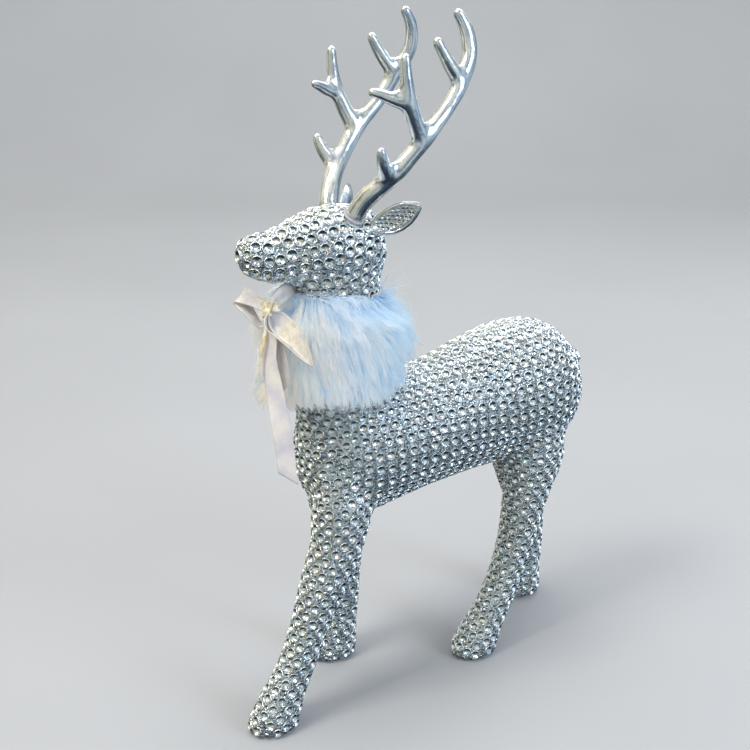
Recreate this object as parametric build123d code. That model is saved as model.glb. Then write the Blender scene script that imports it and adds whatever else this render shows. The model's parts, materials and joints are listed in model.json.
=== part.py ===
from build123d import *
import os
import numpy as np

# Table-top reindeer figure: foam cores on leg wires, wrapped in sheets of set stones,
# plug-in plated antlers, glued plated ears, a fur collar and a satin ribbon bow.
# Millimetres. The reindeer looks along -Y, its left side is +X, +Z is up and the soles
# stand on Z = 0. The origin is on the floor at the middle of the whole figure.
# Places and directions are given as (x, f, z), where f is the distance forward from
# the middle of the shoulders; place() and direction() turn them into X, Y, Z.

# ---------------------------------------------------------------- driving dimensions
F_CENTRE = -18.9            # f of the figure's middle
COVER_T = 2.8               # stone sheet thickness, backing and stones together
TAIL_COVER_T = 2.0          # the same on the tail
SEAM_F = -60.0              # f of the seam between the barrel sheet and the haunch sheet
SOLE_T = 1.6                # sole disc thickness
LEG_CLIP_Z = 200            # a height above every leg, where the clipping slabs end
WIRE_R = 1.6                # leg wire radius
WIRE_LOW_Z = 9              # the wires follow the leg sections at or above this height

DOWEL_R = 5.0
DOWEL_BOTTOM = (0, 27, 152)
DOWEL_TOP = (0, 32.5, 246)

# Body sections: (x, f, z, lateral half width, half depth)
TORSO = [
    (0, 56, 139, 3.5, 4.5), (0, 53, 139, 13, 17), (0, 46, 137, 21, 27),
    (0, 35, 136, 27, 33.5), (0, 19, 137.0, 30, 35.0), (0, 0, 139, 31, 33.5),
    (0, -22, 142.2, 31, 33.8), (0, -46, 146.4, 30.5, 36.6), (0, -68, 149.8, 31, 39.7),
    (0, -88, 150.5, 31.5, 40.5), (0, -104, 150.5, 29.5, 37.5), (0, -116, 149.5, 24.5, 30),
    (0, -124.5, 148, 16, 20), (0, -128.5, 147, 3.5, 4.5)]
NECK = [
    (0, 24, 150, 24, 29), (0, 28, 170, 22, 28), (0, 32, 190, 20.5, 26),
    (0, 33.5, 210, 19.5, 24.5), (0, 33, 228, 19, 23.5), (0, 32, 242, 19.0, 22.5)]
HEAD = [
    (0, 8.5, 247, 3.5, 3.5), (0, 12, 246.5, 14, 15), (0, 20, 247, 19.5, 21),
    (0, 32, 248, 21, 21.2), (0, 43, 249.2, 20, 19.6), (0, 54, 249.2, 17, 16.2),
    (0, 65, 248.2, 13.4, 13.2), (0, 75, 248.4, 11.2, 11.2), (0, 82.5, 249.6, 9.0, 8.8),
    (0, 86.8, 250.4, 3.5, 3.5)]
TAIL = [
    (0, -112, 165, 8, 9.5), (0, -124, 163.5, 7.5, 8.5), (0, -131, 161, 6, 6.5),
    (0, -135.5, 159, 3.4, 3.8), (0, -137.5, 158, 1, 1)]
FUR = [
    (0, 38, 229, 21, 25), (0, 35.5, 222, 27.5, 32), (0, 33, 212, 33.5, 39),
    (0, 30.2, 198, 38, 41.7), (0, 30, 185, 38.5, 42.0), (0, 30.8, 176, 36.5, 39.7),
    (0, 32, 171, 31, 36)]
# The legs run on below the floor and are cut off at Z = 0.
LEGS = {
    "front_left": [
        (13, 38, 132, 12, 18), (17, 40, 114, 13.5, 17), (19.5, 45, 98, 13, 14.3),
        (20.5, 50.5, 84, 12, 13), (21, 57, 70, 11, 11.8), (21.5, 62, 58, 10, 10.5),
        (22, 68, 44, 9.3, 9.8), (22.5, 74, 31, 9, 9.6), (23, 80, 20, 9.3, 10.5),
        (23.5, 85, 11, 10.5, 12), (23.5, 88.5, 3.5, 11, 13), (23.5, 89.5, -4, 9, 11)],
    "front_right": [
        (-13, 27, 132, 12, 18), (-18, 23, 110, 13.3, 16.5), (-19.5, 20.5, 88, 12, 14),
        (-20.5, 19, 68, 10.5, 12), (-21, 19, 48, 9.5, 10.8), (-21, 20, 32, 9.5, 10.5),
        (-21.5, 22, 20, 10, 11.5), (-21.5, 24, 9, 11, 13.5), (-21.5, 25, 2, 11.3, 14),
        (-21.5, 25, -5, 9.3, 12)],
    "rear_left": [
        (14, -95, 138, 13, 20), (16.5, -91, 117, 14, 18.5), (18, -86, 99, 13.2, 14.8),
        (19, -81.5, 84, 12, 12.0), (20, -77, 68, 10.7, 10.2), (20.7, -71.5, 52, 9.9, 9.2),
        (21.3, -65.5, 38, 9.5, 9.4), (22, -58.5, 26, 9.5, 9.8), (22, -52.5, 16, 10, 11),
        (22, -47.5, 7, 11, 13), (22, -45.5, 2, 11.3, 13.6), (22, -45, -5, 9.3, 11.6)],
    "rear_right": [
        (-13, -100, 138, 13, 20), (-16.5, -104, 116, 14, 18), (-17.5, -105.5, 98, 13.2, 15.5),
        (-18.5, -110, 82, 12, 13.4), (-19, -115, 66, 11, 12), (-19.5, -117.5, 50, 10, 11),
        (-20, -118.5, 34, 9.5, 10.5), (-20, -117, 20, 10, 11), (-20, -115, 9, 11, 13.5),
        (-20, -114, 2, 11.3, 14), (-20, -114, -5, 9.3, 12)]}

# Left antler branches: (x, f, z, radius)
BEAM = [
    (12.7, 29.0, 266.2, 4.9), (14.7, 27.5, 270.5, 4.9), (18.0, 24.4, 276, 4.9),
    (22.4, 19.6, 281.6, 4.8), (26.6, 12.8, 288.8, 4.5), (29.6, 4.0, 299.0, 4.3),
    (29.9, -8.0, 311.6, 3.9), (29.8, -17.0, 321.6, 3.8), (28.4, -23.2, 330.3, 3.9),
    (26.4, -28.0, 338.4, 3.7), (24.6, -29.4, 346.8, 3.6), (23.2, -27.4, 355.2, 3.2),
    (22.6, -24.0, 360.4, 2.6)]
BROW_TINE = [
    (23.6, 17.6, 283.6, 4.0), (27, 20.8, 289, 3.6), (29.2, 23.8, 295.0, 2.9),
    (30.0, 25.2, 298.9, 2.3)]
FORE_TINE = [
    (29.8, 2.4, 301.0, 4.1), (31.4, 6.6, 311, 4.1), (32.8, 11.0, 321.0, 3.8),
    (33.4, 13.4, 331.5, 3.1), (33.5, 14.1, 341.6, 2.4)]
FORE_TINE_FORK = [
    (32.6, 10.8, 320.2, 3.3), (31.5, 17, 322.1, 3.1), (28.8, 23.6, 324.8, 2.7),
    (26.8, 27.8, 326.2, 2.3)]
THIRD_TINE = [
    (28.6, -21.8, 328.6, 3.5), (28.9, -16.8, 334.3, 3.3), (29.0, -12, 340.6, 3.0),
    (28.8, -7.4, 347.8, 2.4)]

# Antler foot, peg and socket. Depths run down the peg axis from the beam's first point.
PEG_DIR = (0.40, -0.30, 0.866)      # left peg axis, pointing out of the head
PEG_R = 3.0
PEG_L = 13.0
PEG_OVERLAP = 1.2                   # how far the peg runs up into the antler
FOOT_DEPTH = 0.4                    # underside of the antler's foot
FOOT_R = 5.15
FOOT_T = 1.6
FOOT_TRIM_R, FOOT_TRIM_L = 12, 6    # cylinder that trims the beam below the foot
SOCKET_DEPTH = 0.7                  # top face of the socket flange
SOCKET_R_IN = PEG_R + 0.05          # with running clearance
SOCKET_R_OUT = 4.0
SOCKET_L = PEG_L + 2.5
BORE_L = PEG_L + 0.6
BORE_OVERSHOOT = 3.4                # bore cutter length above the flange
FLANGE_R = 5.4
FLANGE_T = 1.2
FOOT_CLEARANCE_L = 14               # height of the cut above the underside of the flange

# Ears
EAR_L = 28.0
EAR_W = 14.0
EAR_T = 3.0
EAR_ROOT = (15.0, 21.5, 259.3)      # left ear
EAR_DIR = (0.651, -0.658, 0.378)    # left ear, root to tip
EAR_MIDDLE = 0.52                   # point the outline is scaled about, as part of length
EAR_POCKET_SCALE = 0.74
EAR_STONE_SCALE = 0.735
EAR_STONE_GAP = 0.05                # left above and below the stone field
# Outline: (part of the length, part of the width)
EAR_UPPER_EDGE = [(0, 0), (0.16, 0.38), (0.5, 0.5), (0.84, 0.36), (1, 0.22)]
EAR_LOWER_EDGE = [(1, 0.22), (0.86, -0.22), (0.52, -0.5), (0.18, -0.34), (0, 0)]

# Neck band, fur collar and bow
BAND_GAP = 0.3                      # between the neck sheet and the band
BAND_T = 0.6
BAND_Z = (217.0, 226.0)             # bottom and top
FUR_GAP = 0.4                       # between the fur collar and what it sits on
RIBBON_T = 0.5
KNOT_CENTRE = (6.0, 75.0, 223.0)
KNOT_SIZE = (8.0, 4.0, 7.0)
KNOT_FILLET = 1.4
LOOP_W = 8.4                        # ribbon width in the loops
LOOP_FATNESS = 5.6                  # outer size across a loop
LONG_TAIL_W = 10.0
SHORT_TAIL_W = 9.0
LONG_TAIL = [
    (8.3, 76.8, 218.1), (9.7, 76.2, 209.5), (11.5, 74.8, 193.5), (12.5, 73.4, 177.5),
    (13.1, 70.8, 155.5), (13.5, 67.8, 133.5)]
SHORT_TAIL = [
    (9.9, 73.4, 216.9), (13.3, 73.6, 209.5), (18.5, 72.6, 200), (22.5, 71.2, 189.5),
    (25.0, 70.0, 180)]

X_AXIS, Y_AXIS, Z_AXIS = np.eye(3)


# ---------------------------------------------------------------- helpers
def place(x, f, z):
    return np.array([x, -(f - F_CENTRE), z], float)


def unit(vector):
    return vector / np.linalg.norm(vector)


def direction(x, f, z):
    return unit(np.array([x, -f, z], float))


def across(vector, axis):
    """Unit vector: the part of vector square to the unit axis."""
    return unit(vector - (vector @ axis) * axis)


def ring(centre, x_dir, normal, half_x, half_y):
    plane = Plane(origin=tuple(centre), x_dir=tuple(x_dir), z_dir=tuple(normal))
    return Wire([Edge.make_ellipse(half_x, half_y, plane=plane)])


def limb(rows, shrink=0.0, square_to=None):
    """Loft elliptical sections, each drawn in by shrink. They stand square to the path,
    or to world axis number square_to when it is given."""
    points = np.array([place(*row[:3]) for row in rows])
    rings = []
    for point, tangent, row in zip(points, np.gradient(points, axis=0), rows):
        if square_to is not None:
            tangent = np.copysign(np.eye(3)[square_to], tangent[square_to])
            tangent = tangent * np.eye(3)[square_to]
        normal = unit(tangent)
        if square_to is not None:
            normal = np.eye(3)[square_to] * normal[square_to]
        half_width, half_depth = (max(size - shrink, 1.2) for size in row[3:])
        rings.append(ring(point, across(X_AXIS, normal), normal, half_width, half_depth))
    return Solid.make_loft(rings)


def draw_in_ends(rows, inset, ends):
    """Move the closed ends (0 first, -1 last) inwards, and their neighbours by less."""
    moved = [list(row) for row in rows]
    for end in ends:
        neighbour = 1 if end == 0 else -2
        step = unit(np.array(moved[neighbour][:3]) - np.array(moved[end][:3])) * inset
        for i in range(3):
            moved[end][i] += step[i]
            moved[neighbour][i] += step[i] * 0.8
    return moved


def rod(start, axis, radius, length):
    return Plane(origin=tuple(start), z_dir=tuple(axis)) * Cylinder(
        radius, length, align=(Align.CENTER, Align.CENTER, Align.MIN))


def largest(shape):
    """The largest solid of a result, so the piece is a single clean solid."""
    return max(shape.solids(), key=lambda solid: solid.volume)


def slab(bottom, top):
    return Pos(0, 0, (bottom + top) / 2) * Box(600, 600, top - bottom)


pieces = {}

# ---------------------------------------------------------------- outer and inner bodies
# Each inner body fills the space within its stone sheet.
torso_out = limb(TORSO, square_to=1)
torso_in = limb(draw_in_ends(TORSO, COVER_T, (0, -1)), COVER_T, square_to=1)
neck_out = limb(NECK)
neck_in = limb(NECK, COVER_T)
head_out = limb(HEAD, square_to=1)
head_in = limb(HEAD[1:-1], COVER_T, square_to=1)
tail_out = limb(TAIL, square_to=1)
tail_in = limb(draw_in_ends(TAIL, TAIL_COVER_T, (-1,)), TAIL_COVER_T, square_to=1)
leg_out = {leg: limb(rows) for leg, rows in LEGS.items()}
leg_in = {leg: limb(rows, COVER_T) for leg, rows in LEGS.items()}


# ---------------------------------------------------------------- neck dowel, leg wires
def leg_wire(rows):
    path = Spline([Vector(*place(*row[:3])) for row in rows if row[2] >= WIRE_LOW_Z])
    return sweep(Plane(origin=path @ 0, z_dir=path % 0) * Circle(WIRE_R), path=path)


dowel_start = place(*DOWEL_BOTTOM)
dowel_span = place(*DOWEL_TOP) - dowel_start
neck_dowel = rod(dowel_start, unit(dowel_span), DOWEL_R, np.linalg.norm(dowel_span))
wires = {leg: leg_wire(rows) for leg, rows in LEGS.items()}


# ---------------------------------------------------------------- antlers and sockets
def branch(rows):
    """Round lofted branch with a ball at its tip."""
    points = np.array([place(*row[:3]) for row in rows])
    rings = []
    for point, tangent, row in zip(points, np.gradient(points, axis=0), rows):
        normal = unit(tangent)
        rings.append(ring(point, across(Y_AXIS, normal), normal, row[3], row[3]))
    return Solid.make_loft(rings) + Pos(*points[-1]) * Sphere(rows[-1][3])


peg_axis = direction(*PEG_DIR)
antler_base = place(*BEAM[0][:3])
foot_bottom = antler_base - peg_axis * FOOT_DEPTH
socket_top = antler_base - peg_axis * SOCKET_DEPTH
flange_bottom = socket_top - peg_axis * FLANGE_T


def make_antler():
    antler = branch(BEAM)
    for tine in (BROW_TINE, FORE_TINE, FORE_TINE_FORK, THIRD_TINE):
        antler = antler + branch(tine)
    # a short round collar closes the foot square to the peg
    antler = antler + rod(foot_bottom, peg_axis, FOOT_R, FOOT_T)
    antler = antler - rod(foot_bottom, -peg_axis, FOOT_TRIM_R, FOOT_TRIM_L)
    peg = rod(foot_bottom - peg_axis * PEG_L, peg_axis, PEG_R, PEG_L + PEG_OVERLAP)
    return largest(antler + peg)


def make_socket_blank():
    sleeve = rod(socket_top - peg_axis * SOCKET_L, peg_axis, SOCKET_R_OUT, SOCKET_L)
    return sleeve + rod(flange_bottom, peg_axis, FLANGE_R, FLANGE_T)


def make_bore():
    start = socket_top - peg_axis * BORE_L
    return rod(start, peg_axis, SOCKET_R_IN, BORE_L + BORE_OVERSHOOT)


def both_sides(left):
    return {"left": left, "right": mirror(left, about=Plane.YZ)}


socket_blank = make_socket_blank()
antlers = both_sides(make_antler())
sockets = both_sides(largest(socket_blank - make_bore()))
socket_cuts = both_sides(socket_blank)
# room through the stone sheet for the antler's foot
foot_cuts = both_sides(rod(flange_bottom, peg_axis, FLANGE_R, FOOT_CLEARANCE_L))


# ---------------------------------------------------------------- ears
def make_ear(side):
    """Ear and its stone field; side is 1 for the left and -1 for the right."""
    x, f, z = EAR_DIR
    length_axis = direction(side * x, f, z)
    # the cup looks forwards and outwards
    normal = np.cross(length_axis, across(Z_AXIS, length_axis)) * side
    x, f, z = EAR_ROOT
    plane = Plane(origin=tuple(place(side * x, f, z)), x_dir=tuple(length_axis),
                  z_dir=tuple(normal))

    def edge(outline, scale):
        middle = EAR_L * EAR_MIDDLE
        return Spline([Vector((EAR_L * along - middle) * scale + middle,
                              side * EAR_W * up * scale, 0) for along, up in outline])

    def leaf(scale, thickness, lift):
        face = make_face([edge(EAR_UPPER_EDGE, scale), edge(EAR_LOWER_EDGE, scale)])
        return plane * (Pos(0, 0, lift) * extrude(face, thickness))

    ear = leaf(1.0, EAR_T, -EAR_T / 2) - leaf(EAR_POCKET_SCALE, EAR_T, 0.0)
    stones = leaf(EAR_STONE_SCALE, EAR_T / 2 - 2 * EAR_STONE_GAP, EAR_STONE_GAP)
    return ear, stones


ears, ear_stones = {}, {}
for side_name, side in (("left", 1), ("right", -1)):
    ears[side_name], ear_stones[side_name] = make_ear(side)
# the ear roots sink into the head
ear_cuts = {name: ear + ear_stones[name] for name, ear in ears.items()}

for name in ("left", "right"):
    pieces["antler_" + name] = antlers[name]
    pieces["antler_socket_" + name] = sockets[name]
    pieces["ear_" + name] = ears[name]
    pieces["ear_stone_field_" + name] = ear_stones[name]


# ---------------------------------------------------------------- cores
def cut_for_fittings(body):
    """Let the antler sockets, antler feet and ears into the head."""
    for name in ("left", "right"):
        body = body - socket_cuts[name] - foot_cuts[name] - ear_cuts[name]
    return largest(body)


torso_core = torso_in - neck_dowel
for wire in wires.values():
    torso_core = torso_core - wire
pieces["torso_core"] = largest(torso_core)
pieces["neck_core"] = largest((neck_in - torso_in) - head_in - neck_dowel)
pieces["head_core"] = cut_for_fittings(head_in - neck_dowel)
pieces["tail_core"] = largest(tail_in - torso_in)
pieces["neck_dowel"] = neck_dowel

# ---------------------------------------------------------------- stone sheets
torso_sheet = torso_out - torso_in - neck_in - tail_in
for leg in LEGS:
    torso_sheet = torso_sheet - leg_in[leg]
seam_y = place(0, SEAM_F, 0)[1]
front_box = Pos(0, seam_y - 200, 150) * Box(300, 400, 300)
rear_box = Pos(0, seam_y + 200, 150) * Box(300, 400, 300)
pieces["barrel_stone_sheet"] = largest(torso_sheet & front_box)
pieces["haunch_stone_sheet"] = largest(torso_sheet & rear_box)
pieces["neck_stone_sheet"] = largest(neck_out - neck_in - torso_out - head_out)
pieces["head_stone_sheet"] = cut_for_fittings(head_out - (head_in + neck_in))
pieces["tail_stone_sheet"] = largest(tail_out - tail_in - torso_out)

# ---------------------------------------------------------------- legs
for leg, wire in wires.items():
    core = leg_in[leg] - torso_in - wire
    sheet = leg_out[leg] - leg_in[leg] - torso_out
    pieces["leg_core_" + leg] = largest(core & slab(SOLE_T, LEG_CLIP_Z))
    pieces["leg_wire_" + leg] = wire
    pieces["leg_stone_sheet_" + leg] = largest(sheet & slab(0, LEG_CLIP_Z))
    pieces["sole_disc_" + leg] = largest(leg_in[leg] & slab(0, SOLE_T))

# ---------------------------------------------------------------- neck band and fur collar
band_growth = BAND_GAP + BAND_T
band = limb(NECK, -band_growth) - limb(NECK, -BAND_GAP)
pieces["neck_ribbon_band"] = largest(band & slab(*BAND_Z))

neck_clear = limb(NECK, -(band_growth + FUR_GAP))
torso_clear = limb(TORSO, -FUR_GAP, square_to=1)
head_clear = limb(HEAD, -FUR_GAP, square_to=1)
fur = limb(FUR, square_to=2)
pieces["fur_collar"] = largest(fur - neck_clear - torso_clear - head_clear)


# ---------------------------------------------------------------- ribbon bow
def ribbon_tail(points, width_dir, width):
    """Flat strip along a spline, its width turned towards width_dir."""
    path = Spline([Vector(*place(*point)) for point in points])
    tangent = np.array(tuple(path % 0))
    width_axis = across(direction(*width_dir), tangent)
    plane = Plane(origin=path @ 0, x_dir=tuple(width_axis), z_dir=tuple(tangent))
    return sweep(plane * Rectangle(width, RIBBON_T), path=path)


def bow_loop(start, tip, width_dir):
    """Flattened round loop of ribbon from the knot out to its tip."""
    start, tip = place(*start), place(*tip)
    half_length = np.linalg.norm(tip - start) / 2
    half_fat = LOOP_FATNESS / 2
    length_axis = unit(tip - start)
    width_axis = across(direction(*width_dir), length_axis)
    plane = Plane(origin=tuple((start + tip) / 2), x_dir=tuple(length_axis),
                  z_dir=tuple(width_axis))
    face = Ellipse(half_length, half_fat) - Ellipse(half_length - RIBBON_T,
                                                    half_fat - RIBBON_T)
    return plane * extrude(face, LOOP_W / 2, both=True)


knot = Pos(*place(*KNOT_CENTRE)) * Box(*KNOT_SIZE)
pieces["bow_knot"] = fillet(knot.edges(), KNOT_FILLET)
pieces["bow_loop_left"] = bow_loop(
    start=(12.4, 75.0, 221.1), tip=(35.1, 64.4, 201.1), width_dir=(0.45, 0.7, 0.6))
pieces["bow_loop_right"] = bow_loop(
    start=(1.5, 75.2, 223.9), tip=(-22.3, 76.2, 227.1), width_dir=(0.1, 0.5, 0.86))
pieces["ribbon_tail_long"] = ribbon_tail(LONG_TAIL, (1, 0.5, 0), LONG_TAIL_W)
pieces["ribbon_tail_short"] = ribbon_tail(SHORT_TAIL, (1, 0.62, 0), SHORT_TAIL_W)

# ---------------------------------------------------------------- write the pieces
os.makedirs("parts", exist_ok=True)
for name, shape in pieces.items():
    shape.label = name
    export_step(shape, "parts/" + name + ".step")
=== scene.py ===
import bpy, bmesh, json, math, time
import numpy as np
from mathutils import Vector, Matrix, noise
from mathutils.bvhtree import BVHTree
from mathutils.kdtree import KDTree


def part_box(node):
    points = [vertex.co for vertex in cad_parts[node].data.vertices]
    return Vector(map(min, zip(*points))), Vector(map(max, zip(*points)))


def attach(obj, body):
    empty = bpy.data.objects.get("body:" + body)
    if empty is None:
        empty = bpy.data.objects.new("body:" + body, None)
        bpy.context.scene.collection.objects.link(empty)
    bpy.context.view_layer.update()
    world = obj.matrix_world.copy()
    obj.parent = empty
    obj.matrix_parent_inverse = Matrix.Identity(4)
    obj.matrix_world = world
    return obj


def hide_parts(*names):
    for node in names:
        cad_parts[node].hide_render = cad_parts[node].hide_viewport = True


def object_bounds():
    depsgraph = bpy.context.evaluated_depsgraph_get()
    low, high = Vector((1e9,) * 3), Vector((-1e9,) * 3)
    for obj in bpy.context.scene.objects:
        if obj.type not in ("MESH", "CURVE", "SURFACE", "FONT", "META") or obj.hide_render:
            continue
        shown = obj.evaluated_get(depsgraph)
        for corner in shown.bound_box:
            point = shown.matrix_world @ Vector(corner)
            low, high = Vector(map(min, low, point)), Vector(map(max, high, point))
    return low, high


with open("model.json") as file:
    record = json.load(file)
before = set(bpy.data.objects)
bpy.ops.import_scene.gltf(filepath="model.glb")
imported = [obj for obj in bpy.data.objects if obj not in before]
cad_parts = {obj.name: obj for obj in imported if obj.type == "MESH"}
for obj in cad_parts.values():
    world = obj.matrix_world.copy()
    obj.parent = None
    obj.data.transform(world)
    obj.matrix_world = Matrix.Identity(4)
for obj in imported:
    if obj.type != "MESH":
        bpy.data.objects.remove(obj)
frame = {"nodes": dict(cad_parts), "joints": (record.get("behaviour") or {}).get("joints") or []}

T00 = time.time()

LO0, HI0 = [np.array(v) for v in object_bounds()]
N = frame["nodes"]
MM = 0.001
ROOT = "reindeer"
FC = -18.9                      # f of the row origin, as in the CAD: Y = -(f - FC)
COL = bpy.context.scene.collection


def P(x, f, z):
    return np.array([x * MM, -(f - FC) * MM, z * MM])


def unit(v):
    v = np.asarray(v, float)
    return v / (np.linalg.norm(v) + 1e-12)


def sstep(a, b, x):
    t = np.clip((x - a) / (b - a), 0, 1)
    return t * t * (3 - 2 * t)


# ------------------------------------------------------------------ mesh helpers
def build(name, V, faces, mats, midx=None, smooth=None, uv=None, attrs=None):
    """V (n,3); faces: list of int arrays, each (m,k). midx/smooth: list of arrays or scalars, one per face block.
    uv: (n,2) per vertex, written as OFBake."""
    V = np.asarray(V, np.float32)
    me = bpy.data.meshes.new(name)
    me.vertices.add(len(V))
    me.vertices.foreach_set("co", V.ravel())
    starts, loops, tot, mi, sm = [], [], 0, [], []
    for i, F in enumerate(faces):
        F = np.asarray(F, np.int32)
        m, k = F.shape
        starts.append(tot + np.arange(m) * k)
        loops.append(F.ravel())
        tot += m * k
        a = 0 if midx is None else midx[i]
        mi.append(np.full(m, a, np.int32) if np.isscalar(a) else np.asarray(a, np.int32))
        s = True if smooth is None else smooth[i]
        sm.append(np.full(m, s, bool) if np.isscalar(s) else np.asarray(s, bool))
    loops = np.concatenate(loops)
    me.loops.add(tot)
    me.loops.foreach_set("vertex_index", loops)
    st = np.concatenate(starts).astype(np.int32)
    me.polygons.add(len(st))
    me.polygons.foreach_set("loop_start", st)
    me.polygons.foreach_set("material_index", np.concatenate(mi))
    me.polygons.foreach_set("use_smooth", np.concatenate(sm))
    if uv is not None:
        l = me.uv_layers.new(name="OFBake")
        l.data.foreach_set("uv", np.asarray(uv, np.float32)[loops].ravel())
    if attrs:
        for an, av in attrs.items():
            at = me.attributes.new(an, "FLOAT", "POINT")
            at.data.foreach_set("value", np.asarray(av, np.float32))
    for m in mats:
        me.materials.append(m)
    me.update(calc_edges=True)
    me.validate()
    o = bpy.data.objects.new(name, me)
    COL.objects.link(o)
    return o


def mesh_np(me):
    v = np.zeros(len(me.vertices) * 3, np.float32)
    me.vertices.foreach_get("co", v)
    me.calc_loop_triangles()
    t = np.zeros(len(me.loop_triangles) * 3, np.int32)
    me.loop_triangles.foreach_get("vertices", t)
    return v.reshape(-1, 3).astype(float), t.reshape(-1, 3)


def joined(names):
    V, T, o = [], [], 0
    for n in names:
        v, t = mesh_np(N[n].data)
        V.append(v)
        T.append(t + o)
        o += len(v)
    return np.concatenate(V), np.concatenate(T)


def remesh(V, T, voxel, smooth_it=0, factor=0.5):
    me = bpy.data.meshes.new("tmp")
    me.from_pydata(V.tolist(), [], T.tolist())
    me.update()
    o = bpy.data.objects.new("tmp", me)
    COL.objects.link(o)
    m = o.modifiers.new("r", "REMESH")
    m.mode = "VOXEL"
    m.voxel_size = voxel
    m.use_smooth_shade = True
    if smooth_it:
        s = o.modifiers.new("s", "SMOOTH")
        s.factor = factor
        s.iterations = smooth_it
    dg = bpy.context.evaluated_depsgraph_get()
    me2 = bpy.data.meshes.new_from_object(o.evaluated_get(dg))
    bpy.data.objects.remove(o)
    bpy.data.meshes.remove(me)
    n = len(me2.vertices)
    v = np.zeros(n * 3, np.float32)
    me2.vertices.foreach_get("co", v)
    v = v.reshape(-1, 3).astype(float)
    q = np.zeros(len(me2.loops), np.int32)
    me2.loops.foreach_get("vertex_index", q)
    tot = np.zeros(len(me2.polygons), np.int32)
    me2.polygons.foreach_get("loop_total", tot)
    assert (tot == 4).all()
    q = q.reshape(-1, 4)
    bpy.data.meshes.remove(me2)
    return v, q


def edges_of(F):
    k = F.shape[1]
    e = np.concatenate([F[:, [i, (i + 1) % k]] for i in range(k)])
    e.sort(1)
    return np.unique(e, axis=0)


def lap_smooth(V, F, it, w=None, lam=0.5, mu=None):
    """Laplacian smoothing with per-vertex weight. mu: Taubin's second step, keeps the volume."""
    e = edges_of(F)
    n = len(V)
    deg = np.bincount(e.ravel(), minlength=n)[:, None].clip(1)
    w = np.ones(n) if w is None else w
    V = V.copy()
    for i in range(it):
        for l in ([lam] if mu is None else [lam, mu]):
            s = np.stack([np.bincount(e[:, 0], V[e[:, 1], c], n) + np.bincount(e[:, 1], V[e[:, 0], c], n) for c in range(3)], 1)
            V += (s / deg - V) * (l * w)[:, None]
    return V


def largest(V, F):
    """Keeps the outer shell: the connected part with the widest box."""
    n = len(V)
    lab = np.arange(n)
    e = edges_of(F)
    while True:
        m = np.minimum(lab[e[:, 0]], lab[e[:, 1]])
        new = lab.copy()
        np.minimum.at(new, e[:, 0], m)
        np.minimum.at(new, e[:, 1], m)
        new = new[new]
        if (new == lab).all():
            break
        lab = new
    best, bs = None, -1
    for u in np.unique(lab[F[:, 0]]):
        idx = lab == u
        s = np.ptp(V[idx], axis=0).sum()
        if s > bs:
            bs, best = s, u
    keep = lab == best
    remap = np.cumsum(keep) - 1
    return V[keep], remap[F[keep[F[:, 0]]]]


def normals_q(V, F):
    a, b, c, d = (V[F[:, i]] for i in range(4))
    fn = np.cross(c - a, d - b)
    n = np.zeros_like(V)
    for i in range(4):
        for k in range(3):
            n[:, k] += np.bincount(F[:, i], fn[:, k], len(V))
    return n / (np.linalg.norm(n, axis=1)[:, None] + 1e-15)


def vnoise(pts, scale, seed=0.0):
    return np.array([noise.noise(Vector((p[0] * scale + seed, p[1] * scale - seed, p[2] * scale + seed * 0.7))) for p in pts])


def gnoise(pts, scale, seed=0):
    """smooth value noise in -1..1 at many points at once"""
    q = np.asarray(pts) * scale + 31.7 + seed * 7.13
    i = np.floor(q).astype(np.int64)
    f = q - i
    f = f * f * (3 - 2 * f)
    out = np.zeros(len(q))
    for a in (0, 1):
        for b in (0, 1):
            for c in (0, 1):
                h = ((i[:, 0] + a) * 73856093) ^ ((i[:, 1] + b) * 19349663) ^ ((i[:, 2] + c) * 83492791) ^ (int(seed * 1013) + 12345)
                h = (h ^ (h >> 13)) * 1274126177 & 0x7FFFFFFF
                h = ((h ^ (h >> 16)) & 0xFFFF) / 32767.5 - 1
                out += h * (f[:, 0] if a else 1 - f[:, 0]) * (f[:, 1] if b else 1 - f[:, 1]) * (f[:, 2] if c else 1 - f[:, 2])
    return out


def sub_mesh(V, F, fsel):
    F = F[fsel]
    u, inv = np.unique(F, return_inverse=True)
    return V[u], inv.reshape(F.shape), u


# ------------------------------------------------------------------ materials
def mat(name):
    m = bpy.data.materials.new(name)
    m.use_nodes = True
    nt = m.node_tree
    b = next(n for n in nt.nodes if n.type == "BSDF_PRINCIPLED")
    return m, nt, b


def nd(nt, t, **kw):
    n = nt.nodes.new(t)
    for k, v in kw.items():
        if hasattr(n, k):
            setattr(n, k, v)
        else:
            n.inputs[k.replace("_", " ")].default_value = v
    return n


def ramp(nt, fac, stops):
    r = nt.nodes.new("ShaderNodeValToRGB")
    el = r.color_ramp.elements
    while len(el) < len(stops):
        el.new(0.5)
    for e, (p, c) in zip(el, stops):
        e.position = p
        e.color = (*c, 1)
    nt.links.new(fac, r.inputs["Fac"])
    return r


def noise_node(nt, scale, detail=2.0, rough=0.5, coord="Object"):
    tc = nt.nodes.new("ShaderNodeTexCoord")
    n = nt.nodes.new("ShaderNodeTexNoise")
    n.inputs["Scale"].default_value = scale
    n.inputs["Detail"].default_value = detail
    n.inputs["Roughness"].default_value = rough
    nt.links.new(tc.outputs[coord], n.inputs["Vector"])
    return n


def bump(nt, b, height, strength, dist):
    u = nt.nodes.new("ShaderNodeBump")
    u.inputs["Strength"].default_value = strength
    u.inputs["Distance"].default_value = dist
    nt.links.new(height, u.inputs["Height"])
    nt.links.new(u.outputs["Normal"], b.inputs["Normal"])
    return u


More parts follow.
